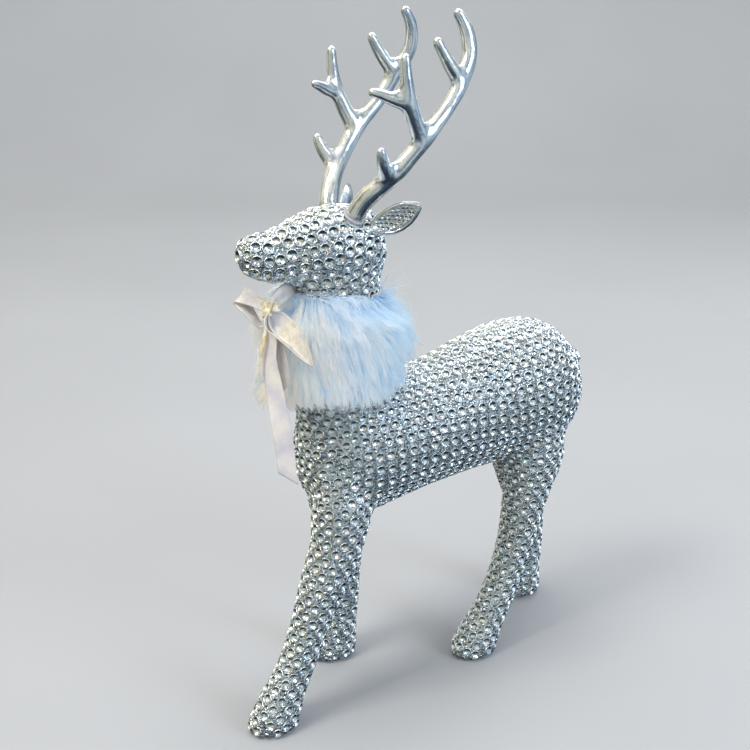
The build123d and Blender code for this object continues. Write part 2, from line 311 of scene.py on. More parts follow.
def simple_mat(name, c0, c1, rough, metal=0.0, scale=200.0, bstr=0.15, bdist=0.0003, r_amp=0.08, **extra):
    """Principled with a noise-driven colour, roughness and bump."""
    m, nt, b = mat(name)
    n = noise_node(nt, scale, 4.0, 0.6)
    r = ramp(nt, n.outputs["Fac"], [(0.35, c0), (0.65, c1)])
    nt.links.new(r.outputs["Color"], b.inputs["Base Color"])
    mr = nt.nodes.new("ShaderNodeMapRange")
    mr.inputs["To Min"].default_value = max(0.0, rough - r_amp)
    mr.inputs["To Max"].default_value = min(1.0, rough + r_amp)
    nt.links.new(n.outputs["Fac"], mr.inputs["Value"])
    nt.links.new(mr.outputs["Result"], b.inputs["Roughness"])
    b.inputs["Metallic"].default_value = metal
    bump(nt, b, n.outputs["Fac"], bstr, bdist)
    for k, v in extra.items():
        b.inputs[k.replace("_", " ")].default_value = v
    return m


M_FOAM = simple_mat("foam_beads", (0.80, 0.80, 0.78), (0.90, 0.90, 0.88), 0.85, scale=350, bstr=0.5)
M_WOOD = simple_mat("dowel_wood", (0.52, 0.36, 0.20), (0.70, 0.52, 0.33), 0.65, scale=160, bstr=0.3)
M_WIRE = simple_mat("drawn_wire", (0.42, 0.43, 0.45), (0.60, 0.61, 0.63), 0.32, metal=1.0, scale=900)
M_SOLE = simple_mat("sole_pad", (0.62, 0.62, 0.62), (0.74, 0.74, 0.74), 0.8, scale=900, bstr=0.4)
M_SOCK = simple_mat("sleeve_plastic", (0.55, 0.56, 0.58), (0.66, 0.67, 0.70), 0.45, scale=400)
# the silver backing between the stones: a matt metallic net, speckled darker and brighter at random
M_BACK = simple_mat("stone_backing", (0.30, 0.33, 0.35), (0.92, 0.94, 0.93), 0.36, metal=0.8, scale=760, bstr=0.9, bdist=0.0006)


def gem_material():
    m, nt, b = mat("cut_stone")
    a = nt.nodes.new("ShaderNodeAttribute")
    a.attribute_name = "tone"
    r = ramp(nt, a.outputs["Fac"], [(0.0, (0.72, 0.79, 0.82)), (0.28, (0.88, 0.91, 0.92)), (0.55, (0.97, 0.98, 0.98)),
                                    (0.8, (0.97, 0.94, 0.86)), (1.0, (0.80, 0.92, 0.97))])
    n = noise_node(nt, 900, 2.0)
    mx = nt.nodes.new("ShaderNodeMix")
    mx.data_type = "RGBA"
    mx.blend_type = "MULTIPLY"
    mx.inputs["Factor"].default_value = 0.25
    nt.links.new(r.outputs["Color"], mx.inputs["A"])
    nt.links.new(n.outputs["Color"], mx.inputs["B"])
    # painted shade: each stone is painted with a dark crescent on its upper side, where its hollow lies in shade, and
    # its lower side is painted a little brighter
    du = nt.nodes.new("ShaderNodeAttribute")
    du.attribute_name = "painted_crescent_shade"
    mr = nt.nodes.new("ShaderNodeMapRange")
    mr.inputs["From Min"].default_value = -1.0
    nt.links.new(du.outputs["Fac"], mr.inputs["Value"])
    rd = ramp(nt, mr.outputs["Result"], [(0.0, (1.06, 1.06, 1.06)), (0.54, (1.0, 1.0, 1.0)), (0.64, (0.30, 0.34, 0.38)), (0.74, (0.055, 0.07, 0.09)), (0.86, (0.07, 0.09, 0.11)), (0.93, (0.5, 0.53, 0.56))])
    m2 = nt.nodes.new("ShaderNodeMix")
    m2.data_type = "RGBA"
    m2.blend_type = "MULTIPLY"
    m2.inputs["Factor"].default_value = 1.0
    nt.links.new(mx.outputs["Result"], m2.inputs["A"])
    nt.links.new(rd.outputs["Color"], m2.inputs["B"])
    nt.links.new(m2.outputs["Result"], b.inputs["Base Color"])
    b.inputs["Metallic"].default_value = 1.0
    b.inputs["Roughness"].default_value = 0.12
    b.inputs["Coat Weight"].default_value = 0.4
    b.inputs["Coat Roughness"].default_value = 0.03
    return m


def ring_material():
    m, nt, b = mat("stone_setting")
    n = noise_node(nt, 500, 3.0)
    r = ramp(nt, n.outputs["Fac"], [(0.3, (0.80, 0.83, 0.84)), (0.7, (0.96, 0.97, 0.96))])
    nt.links.new(r.outputs["Color"], b.inputs["Base Color"])
    b.inputs["Metallic"].default_value = 1.0
    b.inputs["Roughness"].default_value = 0.26
    return m


def plating_material():
    m, nt, b = mat("silver_plating")
    n = noise_node(nt, 55, 3.0, 0.55)
    r = ramp(nt, n.outputs["Fac"], [(0.30, (0.60, 0.63, 0.70)), (0.5, (0.80, 0.81, 0.81)), (0.72, (0.86, 0.83, 0.75))])
    nt.links.new(r.outputs["Color"], b.inputs["Base Color"])
    b.inputs["Metallic"].default_value = 1.0
    n2 = noise_node(nt, 320, 4.0, 0.6)
    mr = nt.nodes.new("ShaderNodeMapRange")
    mr.inputs["To Min"].default_value = 0.15
    mr.inputs["To Max"].default_value = 0.30
    nt.links.new(n2.outputs["Fac"], mr.inputs["Value"])
    nt.links.new(mr.outputs["Result"], b.inputs["Roughness"])
    bump(nt, b, n2.outputs["Fac"], 0.17, 0.0008)
    return m


def fur_material(name, dark=False):
    m, nt, b = mat(name)
    a = nt.nodes.new("ShaderNodeAttribute")
    a.attribute_name = "tone"
    if dark:
        r = ramp(nt, a.outputs["Fac"], [(0.0, (0.80, 0.86, 0.93)), (1.0, (0.92, 0.94, 0.97))])
    else:
        r = ramp(nt, a.outputs["Fac"], [(0.0, (0.36, 0.58, 0.84)), (0.25, (0.62, 0.80, 0.96)), (0.50, (0.88, 0.95, 1.0)), (0.8, (1.0, 1.0, 1.0)), (1.0, (1.0, 0.995, 0.985))])
    # the light falls warmer on the front of the collar and cooler towards the back
    tc = nt.nodes.new("ShaderNodeTexCoord")
    sx = nt.nodes.new("ShaderNodeSeparateXYZ")
    nt.links.new(tc.outputs["Object"], sx.inputs["Vector"])
    mr = nt.nodes.new("ShaderNodeMapRange")
    mr.inputs["From Min"].default_value = -0.095
    mr.inputs["From Max"].default_value = -0.035
    nt.links.new(sx.outputs["Y"], mr.inputs["Value"])
    r2 = ramp(nt, mr.outputs["Result"], [(0.0, (1.0, 0.955, 0.87)), (0.30, (0.99, 0.985, 0.97)), (0.5, (0.95, 0.98, 1.0)), (1.0, (0.84, 0.945, 1.0))])
    mx = nt.nodes.new("ShaderNodeMix")
    mx.data_type = "RGBA"
    mx.blend_type = "MULTIPLY"
    mx.inputs["Factor"].default_value = 1.0
    nt.links.new(r.outputs["Color"], mx.inputs["A"])
    nt.links.new(r2.outputs["Color"], mx.inputs["B"])
    nt.links.new(mx.outputs["Result"], b.inputs["Base Color"])
    b.inputs["Roughness"].default_value = 0.6
    b.inputs["Sheen Weight"].default_value = 0.25
    b.inputs["Sheen Roughness"].default_value = 0.4
    b.inputs["Specular IOR Level"].default_value = 0.3
    # painted light: the fur glows faintly in its own colour, brightening it as light scattered through the hairs would
    nt.links.new(mx.outputs["Result"], b.inputs["Emission Color"])
    b.inputs["Emission Strength"].default_value = 0.14
    tr = nt.nodes.new("ShaderNodeBsdfTranslucent")
    nt.links.new(mx.outputs["Result"], tr.inputs["Color"])
    ms = nt.nodes.new("ShaderNodeMixShader")
    ms.inputs["Fac"].default_value = 0.0 if dark else 0.26
    out = next(n for n in nt.nodes if n.type == "OUTPUT_MATERIAL")
    nt.links.new(b.outputs["BSDF"], ms.inputs[1])
    nt.links.new(tr.outputs["BSDF"], ms.inputs[2])
    nt.links.new(ms.outputs["Shader"], out.inputs["Surface"])
    return m


def ribbon_material():
    m, nt, b = mat("ribbon_satin")
    uvn = nt.nodes.new("ShaderNodeUVMap")
    uvn.uv_map = "UVMap"
    sep = nt.nodes.new("ShaderNodeSeparateXYZ")
    nt.links.new(uvn.outputs["UV"], sep.inputs["Vector"])
    # fine cross ribs and floats of the satin weave
    w = nt.nodes.new("ShaderNodeTexWave")
    w.wave_type = "BANDS"
    w.bands_direction = "X"
    w.inputs["Scale"].default_value = 1.0
    w.inputs["Distortion"].default_value = 0.4
    mp = nt.nodes.new("ShaderNodeMapping")
    mp.inputs["Scale"].default_value = (900, 2600, 1)
    nt.links.new(uvn.outputs["UV"], mp.inputs["Vector"])
    nt.links.new(mp.outputs["Vector"], w.inputs["Vector"])
    n = noise_node(nt, 90, 3.0)
    r = ramp(nt, n.outputs["Fac"], [(0.32, (0.66, 0.63, 0.67)), (0.48, (0.80, 0.74, 0.72)), (0.68, (0.93, 0.86, 0.74))])
    # painted glint: where the knot and the folds catch the light the satin is painted gold
    ga = nt.nodes.new("ShaderNodeAttribute")
    ga.attribute_name = "painted_gold_glint"
    gn = noise_node(nt, 420, 2.0)
    gr = ramp(nt, gn.outputs["Fac"], [(0.35, (0.62, 0.50, 0.24)), (0.5, (0.90, 0.74, 0.40)), (0.62, (1.0, 0.93, 0.66))])
    gm = nt.nodes.new("ShaderNodeMix")
    gm.data_type = "RGBA"
    nt.links.new(ga.outputs["Fac"], gm.inputs["Factor"])
    nt.links.new(r.outputs["Color"], gm.inputs["A"])
    nt.links.new(gr.outputs["Color"], gm.inputs["B"])
    sa = nt.nodes.new("ShaderNodeAttribute")
    sa.attribute_name = "shade"
    sr = ramp(nt, sa.outputs["Fac"], [(0.0, (1.0, 1.0, 1.0)), (1.0, (0.58, 0.61, 0.68))])
    sm_ = nt.nodes.new("ShaderNodeMix")
    sm_.data_type = "RGBA"
    sm_.blend_type = "MULTIPLY"
    sm_.inputs["Factor"].default_value = 1.0
    nt.links.new(gm.outputs["Result"], sm_.inputs["A"])
    nt.links.new(sr.outputs["Color"], sm_.inputs["B"])
    nt.links.new(sm_.outputs["Result"], b.inputs["Base Color"])
    b.inputs["Roughness"].default_value = 0.26
    b.inputs["Specular IOR Level"].default_value = 0.9
    b.inputs["Anisotropic"].default_value = 0.5
    b.inputs["Sheen Weight"].default_value = 0.25
    b.inputs["Coat Weight"].default_value = 0.25
    b.inputs["Coat Roughness"].default_value = 0.25
    b.inputs["Subsurface Weight"].default_value = 0.1
    b.inputs["Subsurface Radius"].default_value = (0.002, 0.002, 0.002)
    bump(nt, b, w.outputs["Fac"], 0.25, 0.0001)
    return m


M_GEM = gem_material()
M_RING = ring_material()
M_PLATE = plating_material()
M_FUR = fur_material("fur_hair")
M_FURB = fur_material("fur_under", True)
M_SATIN = ribbon_material()

# materials of the CAD nodes that stay
for n, o in N.items():
    m = None
    if n.endswith("_core") or n.startswith("leg_core"):
        m = M_FOAM
    elif n == "neck_dowel":
        m = M_WOOD
    elif n.startswith("leg_wire"):
        m = M_WIRE
    elif n.startswith("sole_disc"):
        m = M_SOLE
    elif n.startswith("antler_socket"):
        m = M_SOCK
    if m is not None:
        o.data.materials.clear()
        o.data.materials.append(m)

# ------------------------------------------------------------------ the skin: one blended body surface under the stones
SHEETS = ["barrel_stone_sheet", "haunch_stone_sheet", "neck_stone_sheet", "head_stone_sheet", "tail_stone_sheet"] + [
    "leg_stone_sheet_" + k for k in ("front_left", "front_right", "rear_left", "rear_right")]
CORES = ["torso_core", "neck_core", "head_core", "tail_core", "neck_dowel", "antler_socket_left", "antler_socket_right"] + [
    "leg_core_" + k for k in ("front_left", "front_right", "rear_left", "rear_right")] + [
    "sole_disc_" + k for k in ("front_left", "front_right", "rear_left", "rear_right")] + [
    "leg_wire_" + k for k in ("front_left", "front_right", "rear_left", "rear_right")]
Vj, Tj = joined(SHEETS + CORES)
SV, SF = remesh(Vj, Tj, 0.0017, 4)
SV, SF = largest(SV, SF)
# blend the creases where limbs meet the trunk
tree_t = BVHTree.FromPolygons(*[a.tolist() for a in joined(["barrel_stone_sheet", "haunch_stone_sheet"])])
tree_l = BVHTree.FromPolygons(*[a.tolist() for a in joined([s for s in SHEETS if s.startswith("leg")] + ["neck_stone_sheet", "tail_stone_sheet"])])
tree_n = BVHTree.FromPolygons(*[a.tolist() for a in joined(["neck_stone_sheet"])])
tree_h = BVHTree.FromPolygons(*[a.tolist() for a in joined(["head_stone_sheet"])])
dt = np.array([tree_t.find_nearest(Vector(v), 0.02)[3] or 0.02 for v in SV])
dl = np.array([tree_l.find_nearest(Vector(v), 0.02)[3] or 0.02 for v in SV])
dn = np.array([tree_n.find_nearest(Vector(v), 0.02)[3] or 0.02 for v in SV])
dh = np.array([tree_h.find_nearest(Vector(v), 0.02)[3] or 0.02 for v in SV])
crease = np.maximum(1 - sstep(0.003, 0.009, np.maximum(dt, dl)), 1 - sstep(0.003, 0.008, np.maximum(dn, dh)))
SV = lap_smooth(SV, SF, 40, w=crease * sstep(0.004, 0.02, SV[:, 2]))
SV = lap_smooth(SV, SF, 3)
SN = normals_q(SV, SF)
STri = np.concatenate([SF[:, [0, 1, 2]], SF[:, [0, 2, 3]]])
skin = BVHTree.FromPolygons(SV.tolist(), SF.tolist())
kd = KDTree(len(SV))
for i, v in enumerate(SV):
    kd.insert(v, i)
kd.balance()


def snap(p, lim):
    """nearest skin point and smooth normal, or None when further than lim"""
    co, no, idx, d = skin.find_nearest(Vector(p), lim)
    if co is None:
        return None
    near = kd.find_n(co, 6)
    n = np.zeros(3)
    for _, i, dd in near:
        n += SN[i] / (dd + 0.0004)
    return np.array(co), unit(n)


# ------------------------------------------------------------------ which CAD node each skin face belongs to
NODE_TREES = {}
for s in SHEETS:
    V_, T_ = mesh_np(N[s].data)
    NODE_TREES[s] = BVHTree.FromPolygons(V_.tolist(), T_.tolist())


def node_of(p, lim=0.03):
    best, bd = None, 1e9
    for s, t in NODE_TREES.items():
        h = t.find_nearest(Vector(p), min(lim, bd))
        if h[0] is not None and h[3] < bd:
            best, bd = s, h[3]
    return best or SHEETS[0]


# ------------------------------------------------------------------ peg axes and other places where stones stop
AX = {}
for nm in ("left", "right"):
    j = next(j for j in frame["joints"] if j["child"] == "antler_" + nm)
    ax = unit(j["axis"])
    v, _ = mesh_np(N["antler_socket_" + nm].data)
    c = v.mean(0)
    t = (v - c) @ ax
    # the sleeve's own axis: centroid of its vertices, robust because the sleeve is round
    AX[nm] = (c, ax, t.max())


def antler_dist(p):
    d = 1.0
    for c, ax, t in AX.values():
        q = np.asarray(p) - c
        h = q @ ax
        if h > t - 0.012:
            d = min(d, np.linalg.norm(q - h * ax))
    return d


FUR_LO, FUR_HI = [np.array(v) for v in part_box("fur_collar")]


def hidden_by_fur(p):
    # the neck well inside the collar carries no stones
    return FUR_LO[2] + 0.016 < p[2] < FUR_HI[2] - 0.006 and FUR_LO[1] + 0.016 < p[1] < FUR_HI[1] - 0.016 and p[2] > 0.176


# ------------------------------------------------------------------ stone layout
class Layout:
    def __init__(self):
        self.p, self.n, self.r, self.reg = [], [], [], []
        self.grid = {}

    def _cell(self, p):
        return tuple((np.asarray(p) // 0.007).astype(int))

    def near_ok(self, p, r, k=0.97):
        c = self._cell(p)
        for a in (-1, 0, 1):
            for b in (-1, 0, 1):
                for d in (-1, 0, 1):
                    for i in self.grid.get((c[0] + a, c[1] + b, c[2] + d), ()):
                        if np.linalg.norm(self.p[i] - p) < (self.r[i] + r) * k:
                            return False
        return True

    def add(self, p, n, r, reg, k=0.97):
        if p[2] < 0.0024 + max(0.0, -n[2]) * 0.001 or (n[2] < -0.55 and p[2] < 0.006):
            return False
        if hidden_by_fur(p) or antler_dist(p) < 0.0052 + r or not self.near_ok(p, r, k):
            return False
        i = len(self.p)
        self.p.append(np.asarray(p))
        self.n.append(np.asarray(n))
        self.r.append(r)
        self.reg.append(reg)
        self.grid.setdefault(self._cell(p), []).append(i)
        return True


LAY = Layout()
rng = np.random.default_rng(11)
NA = 144


def profile(c, u, v, trees, rmax):
    """outer radius round a centre in the plane u, v, cast from outside; gaps are bridged"""
    th = np.arange(NA) / NA * 2 * np.pi
    r = np.full(NA, np.nan)
    for i, t in enumerate(th):
        d = math.cos(t) * u + math.sin(t) * v
        o = c + d * rmax
        best = None
        for tr in trees:
            h = tr.ray_cast(Vector(o), Vector(-d), rmax)
            if h[0] is not None:
                q = (np.array(h[0]) - c) @ d
                best = q if best is None else max(best, q)
        if best is not None:
            r[i] = best
    med = np.nanmedian(r)
    bad = np.isnan(r) | (r < med * 0.62)
    if bad.all():
        return None
    if bad.any():
        good = np.where(~bad)[0]
        r[bad] = np.interp(np.where(bad)[0], np.concatenate([good - NA, good, good + NA]), np.tile(r[good], 3))
    return r


class Tube:
    """a limb unrolled: station length u, arc length v from a reference meridian"""

    def __init__(self, centres, lat, trees, rmax, ref):
        self.c = np.array(centres)
        tan = np.gradient(self.c, axis=0)
        tan /= np.linalg.norm(tan, axis=1)[:, None]
        self.U, self.Vv, self.R = [], [], []
        for c, t in zip(self.c, tan):
            u = np.array(lat, float)
            u = unit(u - (u @ t) * t)
            v = np.cross(t, u)
            self.U.append(u)
            self.Vv.append(v)
            pr = profile(c, u, v, trees, rmax)
            self.R.append(pr if pr is not None else (self.R[-1] if self.R else np.full(NA, rmax * 0.5)))
        self.R = np.array(self.R)
        # light smoothing round and along
        for _ in range(2):
            self.R = (self.R + np.roll(self.R, 1, 1) + np.roll(self.R, -1, 1)) / 3
            self.R[1:-1] = (self.R[1:-1] * 2 + self.R[:-2] + self.R[2:]) / 4
        self.th = np.arange(NA) / NA * 2 * np.pi
        k = int(round(ref / (2 * np.pi) * NA)) % NA
        self.S, self.half = [], []
        mer = [0.0]
        pts = []
        for i in range(len(self.c)):
            p = self.c[i] + self.R[i][:, None] * (np.cos(self.th)[:, None] * self.U[i] + np.sin(self.th)[:, None] * self.Vv[i])
            pts.append(p)
            q = np.roll(p, -k, 0)
            seg = np.linalg.norm(np.roll(q, -1, 0) - q, axis=1)
            s = np.concatenate([[0], np.cumsum(seg)])
            self.S.append(s)
            if i:
                mer.append(mer[-1] + np.median(np.linalg.norm(p - pts[-2], axis=1)))
        self.k = k
        self.mer = np.array(mer)
        self.len = self.mer[-1]

    def at(self, u, v):
        """point at meridian length u and arc length v (signed) from the reference line"""
        f = np.interp(u, self.mer, np.arange(len(self.mer)))
        i = min(int(f), len(self.c) - 2)
        t = f - i
        out = []
        for j in (i, i + 1):
            s = self.S[j]
            tot = s[-1]
            vv = v % tot
            a = np.interp(vv, s, np.arange(NA + 1)) + self.k
            r = np.interp(a % NA, np.arange(NA + 1), np.append(self.R[j], self.R[j][0]))
            th = a / NA * 2 * np.pi
            out.append(self.c[j] + r * (math.cos(th) * self.U[j] + math.sin(th) * self.Vv[j]))
        return out[0] * (1 - t) + out[1] * t

    def girth(self, u):
        return np.interp(u, self.mer, [s[-1] for s in self.S])


def lay(tube, reg, pitch, r, u0, u1, rot=0.0, hexa=False, jit=0.0, lim=0.0032, rj=0.0, v0=0.0, k=0.95, across=1.0):
    """lays stones on a lattice turned by rot over the unrolled tube, between u0 and u1"""
    gmax = max(s[-1] for s in tube.S)
    L = (u1 - u0) + gmax
    n = int(L / pitch) + 3
    ca, sa = math.cos(rot), math.sin(rot)
    rowp = pitch * (0.88 if hexa else 1.0)
    cand = []
    for i in range(-n, n + 1):
        for j in range(-n, n + 1):
            a = i * rowp
            b = (j + (0.5 * (i % 2) if hexa else 0)) * pitch * across
            u = u0 + pitch * 0.5 + a * ca - b * sa
            v = v0 + a * sa + b * ca
            if not (u0 <= u <= u1):
                continue
            g = tube.girth(u)
            if abs(v) > g / 2 - (0.25 * pitch if v > 0 else 0.1 * pitch):
                continue
            cand.append((u, v))
    cand.sort(key=lambda c: (round(c[0] / pitch), abs(c[1])))
    for u, v in cand:
        if jit:
            u, v = u + rng.normal(0, jit), v + rng.normal(0, jit)
        q = snap(tube.at(u, v), lim)
        if q is None:
            continue
        rr = r * (1 + (rng.uniform(-rj, rj) if rj else 0))
        LAY.add(q[0], q[1], rr, reg, k)


# trunk
tv = np.concatenate([mesh_np(N[s].data)[0] for s in ("barrel_stone_sheet", "haunch_stone_sheet")])
y0, y1 = tv[:, 1].min(), tv[:, 1].max()
cs = []
for y in np.arange(y0 + 0.003, y1 - 0.002, 0.003):
    z = tv[np.abs(tv[:, 1] - y) < 0.006][:, 2]
    cs.append((0, y, (z.max() + z.min()) / 2))
cs = np.array(cs)
cs[:, 2] = np.convolve(np.pad(cs[:, 2], 4, mode="edge"), np.ones(9) / 9, "valid")
trunk = Tube(cs, (1, 0, 0), [tree_t], 0.07, math.pi / 2)
seam_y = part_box("haunch_stone_sheet")[0][1]
u_seam = float(np.interp(seam_y, trunk.c[:, 1], trunk.mer))
TP, TR = 0.0066, 0.00268
lay(trunk, "trunk", TP, TR, u_seam % TP - TP * 0.5, u_seam - TP * 0.42, rot=0.13, jit=0.00012, across=1.15)
lay(trunk, "trunk", TP, TR, u_seam + TP * 0.3, trunk.len, rot=-0.06, jit=0.00015, across=1.12)

# legs: the leg wires give each leg's axis
legs = {}
for nm, side in (("front_left", 1), ("front_right", -1), ("rear_left", 1), ("rear_right", -1)):
    wv, _ = mesh_np(N["leg_wire_" + nm].data)
    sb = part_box("sole_disc_" + nm)
    sc = np.array([(sb[0][0] + sb[1][0]) / 2, (sb[0][1] + sb[1][1]) / 2, 0.0015])
    pts = [sc]
    for z in np.arange(0.012, 0.124, 0.004):
        w = wv[np.abs(wv[:, 2] - z) < 0.0035]
        if len(w) > 4:
            pts.append(np.array([(w[:, 0].max() + w[:, 0].min()) / 2, (w[:, 1].max() + w[:, 1].min()) / 2, z]))
    pts = np.array(pts)
    # refine to 3 mm steps
    s = np.concatenate([[0], np.cumsum(np.linalg.norm(np.diff(pts, axis=0), axis=1))])
    q = np.arange(0, s[-1], 0.003)
    pts = np.stack([np.interp(q, s, pts[:, k]) for k in range(3)], 1)
    for _ in range(3):
        pts[1:-1] = (pts[1:-1] * 2 + pts[:-2] + pts[2:]) / 4
    legs[nm] = Tube(pts, (side, 0, 0), [NODE_TREES["leg_stone_sheet_" + nm]], 0.024, 0.0)
    rot = {"front_left": 0.62, "front_right": -0.66, "rear_left": 0.70, "rear_right": -0.60}[nm]
    lay(legs[nm], "leg_" + nm, 0.0061, 0.00256, 0.0012, legs[nm].len, rot=rot, jit=0.00015, lim=0.004)

# head: larger stones set one by one in staggered rows, from the nose back
hv = mesh_np(N["head_stone_sheet"].data)[0]
y0, y1 = hv[:, 1].min(), hv[:, 1].max()
cs = []
for y in np.arange(y0 + 0.0015, y1 - 0.0015, 0.0025):
    z = hv[np.abs(hv[:, 1] - y) < 0.004][:, 2]
    cs.append((0, y, (z.max() + z.min()) / 2))
cs = np.array(cs)
cs[:, 2] = np.convolve(np.pad(cs[:, 2], 3, mode="edge"), np.ones(7) / 7, "valid")
headt = Tube(cs, (1, 0, 0), [tree_h], 0.05, math.pi / 2)
q = snap((0, y0 - 0.001, cs[0, 2] + 0.001), 0.01)
if q:
    LAY.add(q[0], q[1], 0.0034, "head")
lay(headt, "head", 0.0066, 0.00288, 0.001, headt.len, hexa=True, jit=0.00030, rj=0.08, k=0.90, lim=0.005)
# neck strip under the head and the root of the neck under the collar
nv = mesh_np(N["neck_stone_sheet"].data)[0]
cs = []
for z in np.arange(nv[:, 2].min() + 0.004, nv[:, 2].max(), 0.004):
    w = nv[np.abs(nv[:, 2] - z) < 0.006]
    if len(w) > 6:
        cs.append((0, (w[:, 1].max() + w[:, 1].min()) / 2, z))
neckt = Tube(cs, (1, 0, 0), [tree_n], 0.05, 0.0)
lay(neckt, "neck", 0.0066, 0.0027, 0.0, neckt.len, rot=0.1, jit=0.0002, lim=0.004)
# tail
tl = mesh_np(N["tail_stone_sheet"].data)[0]
cs = []
for y in np.arange(tl[:, 1].min() + 0.004, tl[:, 1].max() - 0.001, 0.002):
    w = tl[np.abs(tl[:, 1] - y) < 0.003]
    cs.append((0, y, (w[:, 2].max() + w[:, 2].min()) / 2))
tailt = Tube(cs, (1, 0, 0), [NODE_TREES["tail_stone_sheet"]], 0.02, math.pi / 2)
lay(tailt, "tail", 0.0056, 0.0026, 0.0, tailt.len, hexa=True, lim=0.003, k=0.93)
q = snap((0, tl[:, 1].max() + 0.0005, cs[-1][2]), 0.01)
if q:
    LAY.add(q[0], q[1], 0.0022, "tail", 0.9)
print("lattice stones", len(LAY.p))

# fill what the lattices leave open: full stones first, then smaller ones
ok = (SV[:, 2] > 0.003) & ~((SN[:, 2] < -0.55) & (SV[:, 2] < 0.006))
ok &= np.array([not hidden_by_fur(p) for p in SV])
ad = np.array([antler_dist(p) if p[2] > 0.24 else 1.0 for p in SV])
for rad, need in ((0.0026, 0.0061), (0.0021, 0.0055)):
    P0 = np.array(LAY.p)
    dmin = np.full(len(SV), 1.0)
    R0 = np.array(LAY.r)
    for a in range(0, len(P0), 400):
        d = np.linalg.norm(SV[:, None] - P0[None, a:a + 400], axis=2) - R0[None, a:a + 400]
        dmin = np.minimum(dmin, d.min(1))
    order = np.where(ok & (dmin > rad * 0.98) & (ad > rad + 0.0050))[0]
    while len(order):
        # the tightest fit next to stones already laid keeps the packing even
        i = order[np.argmin(dmin[order])]
        p = SV[i]
        if LAY.add(p, SN[i], rad, "fill", 0.94):
            dmin = np.minimum(dmin, np.linalg.norm(SV - p, axis=1) - rad)
            dmin[i] = 0
        else:
            dmin[i] = 0
        order = order[(dmin[order] > rad * 0.98)]
print("stones", len(LAY.p))

# small beads in every gap, the largest that fits first
tri_ = np.concatenate([SF[:, [0, 1, 2]], SF[:, [0, 2, 3]]])
a_, b_, c_ = SV[tri_[:, 0]], SV[tri_[:, 1]], SV[tri_[:, 2]]
ar_ = np.linalg.norm(np.cross(b_ - a_, c_ - a_), axis=1)
pk = rng.choice(len(tri_), 90000, p=ar_ / ar_.sum())
w_ = rng.dirichlet((1, 1, 1), len(pk))
BP = a_[pk] * w_[:, :1] + b_[pk] * w_[:, 1:2] + c_[pk] * w_[:, 2:3]
BN = SN[tri_[pk, 0]] * w_[:, :1] + SN[tri_[pk, 1]] * w_[:, 1:2] + SN[tri_[pk, 2]] * w_[:, 2:3]
BN /= np.linalg.norm(BN, axis=1)[:, None]
keep = (BP[:, 2] > 0.0016) & ~((BN[:, 2] < -0.55) & (BP[:, 2] < 0.006))
inside = (BP[:, 2] > 0.176) & (BP[:, 2] > FUR_LO[2] + 0.016) & (BP[:, 2] < FUR_HI[2] - 0.006) & (BP[:, 1] > FUR_LO[1] + 0.016) & (BP[:, 1] < FUR_HI[1] - 0.016)
keep &= ~inside
for c, ax, t in AX.values():
    q = BP - c
    h = q @ ax
    keep &= ~((h > t - 0.012) & (np.linalg.norm(q - h[:, None] * ax, axis=1) < 0.0060))
# the seam between barrel and haunch stays an open line down the sides
keep &= ~((np.abs(BP[:, 1] - seam_y) < 0.00075) & (BP[:, 2] > 0.118) & (BP[:, 2] < 0.172))
BP, BN = BP[keep], BN[keep]
P0, R0 = np.array(LAY.p), np.array(LAY.r)
kd0 = KDTree(len(P0))
for i, p in enumerate(P0):
    kd0.insert(p, i)
kd0.balance()
clear = np.empty(len(BP))
for i, p in enumerate(BP):
    clear[i] = min((d - R0[j] * 0.93) for _, j, d in kd0.find_n(p, 4))
BMIN, BMAX = 0.00055, 0.00135
sel = clear > BMIN
BP, BN, clear = BP[sel], BN[sel], clear[sel]
order = np.argsort(-clear)
grid, beads = {}, []
for i in order:
    p = BP[i]
    r_ = min(clear[i], BMAX)
    c = (int(p[0] // 0.0027), int(p[1] // 0.0027), int(p[2] // 0.0027))
    lim_ = r_
    for a in (-1, 0, 1):
        for b in (-1, 0, 1):
            for d in (-1, 0, 1):
                for j in grid.get((c[0] + a, c[1] + b, c[2] + d), ()):
                    q = BP[beads[j][0]] - p
                    lim_ = min(lim_, math.sqrt(q @ q) * 1.04 - beads[j][1])
                    if lim_ < BMIN:
                        break
    if lim_ >= BMIN:
        grid.setdefault(c, []).append(len(beads))
        beads.append((i, lim_))
bi = np.array([b[0] for b in beads])
BEAD_P, BEAD_N, BEAD_R = BP[bi], BN[bi], np.array([b[1] for b in beads])
print("beads", len(BEAD_P), time.time() - T00)

# ------------------------------------------------------------------ backing skin, one piece per CAD sheet
BV = SV - SN * 0.0011
fc = SV[SF].mean(1)
kinds = np.array([SHEETS.index(node_of(c)) for c in fc])
# tidy the borders: a face takes the commonest node of its neighbours
for _ in range(2):
    vv = np.zeros((len(SV), len(SHEETS)))
    for i in range(4):
        np.add.at(vv, (SF[:, i], kinds), 1)
    kinds = vv[SF].sum(1).argmax(1)
for k, s in enumerate(SHEETS):
    sel = kinds == k
    if sel.sum() < 4:
        continue
    v, f, u = sub_mesh(BV, SF, sel)
    o = build(s.replace("stone_sheet", "backing"), v, [f], [M_BACK])
    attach(o, ROOT)
    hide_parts(s)


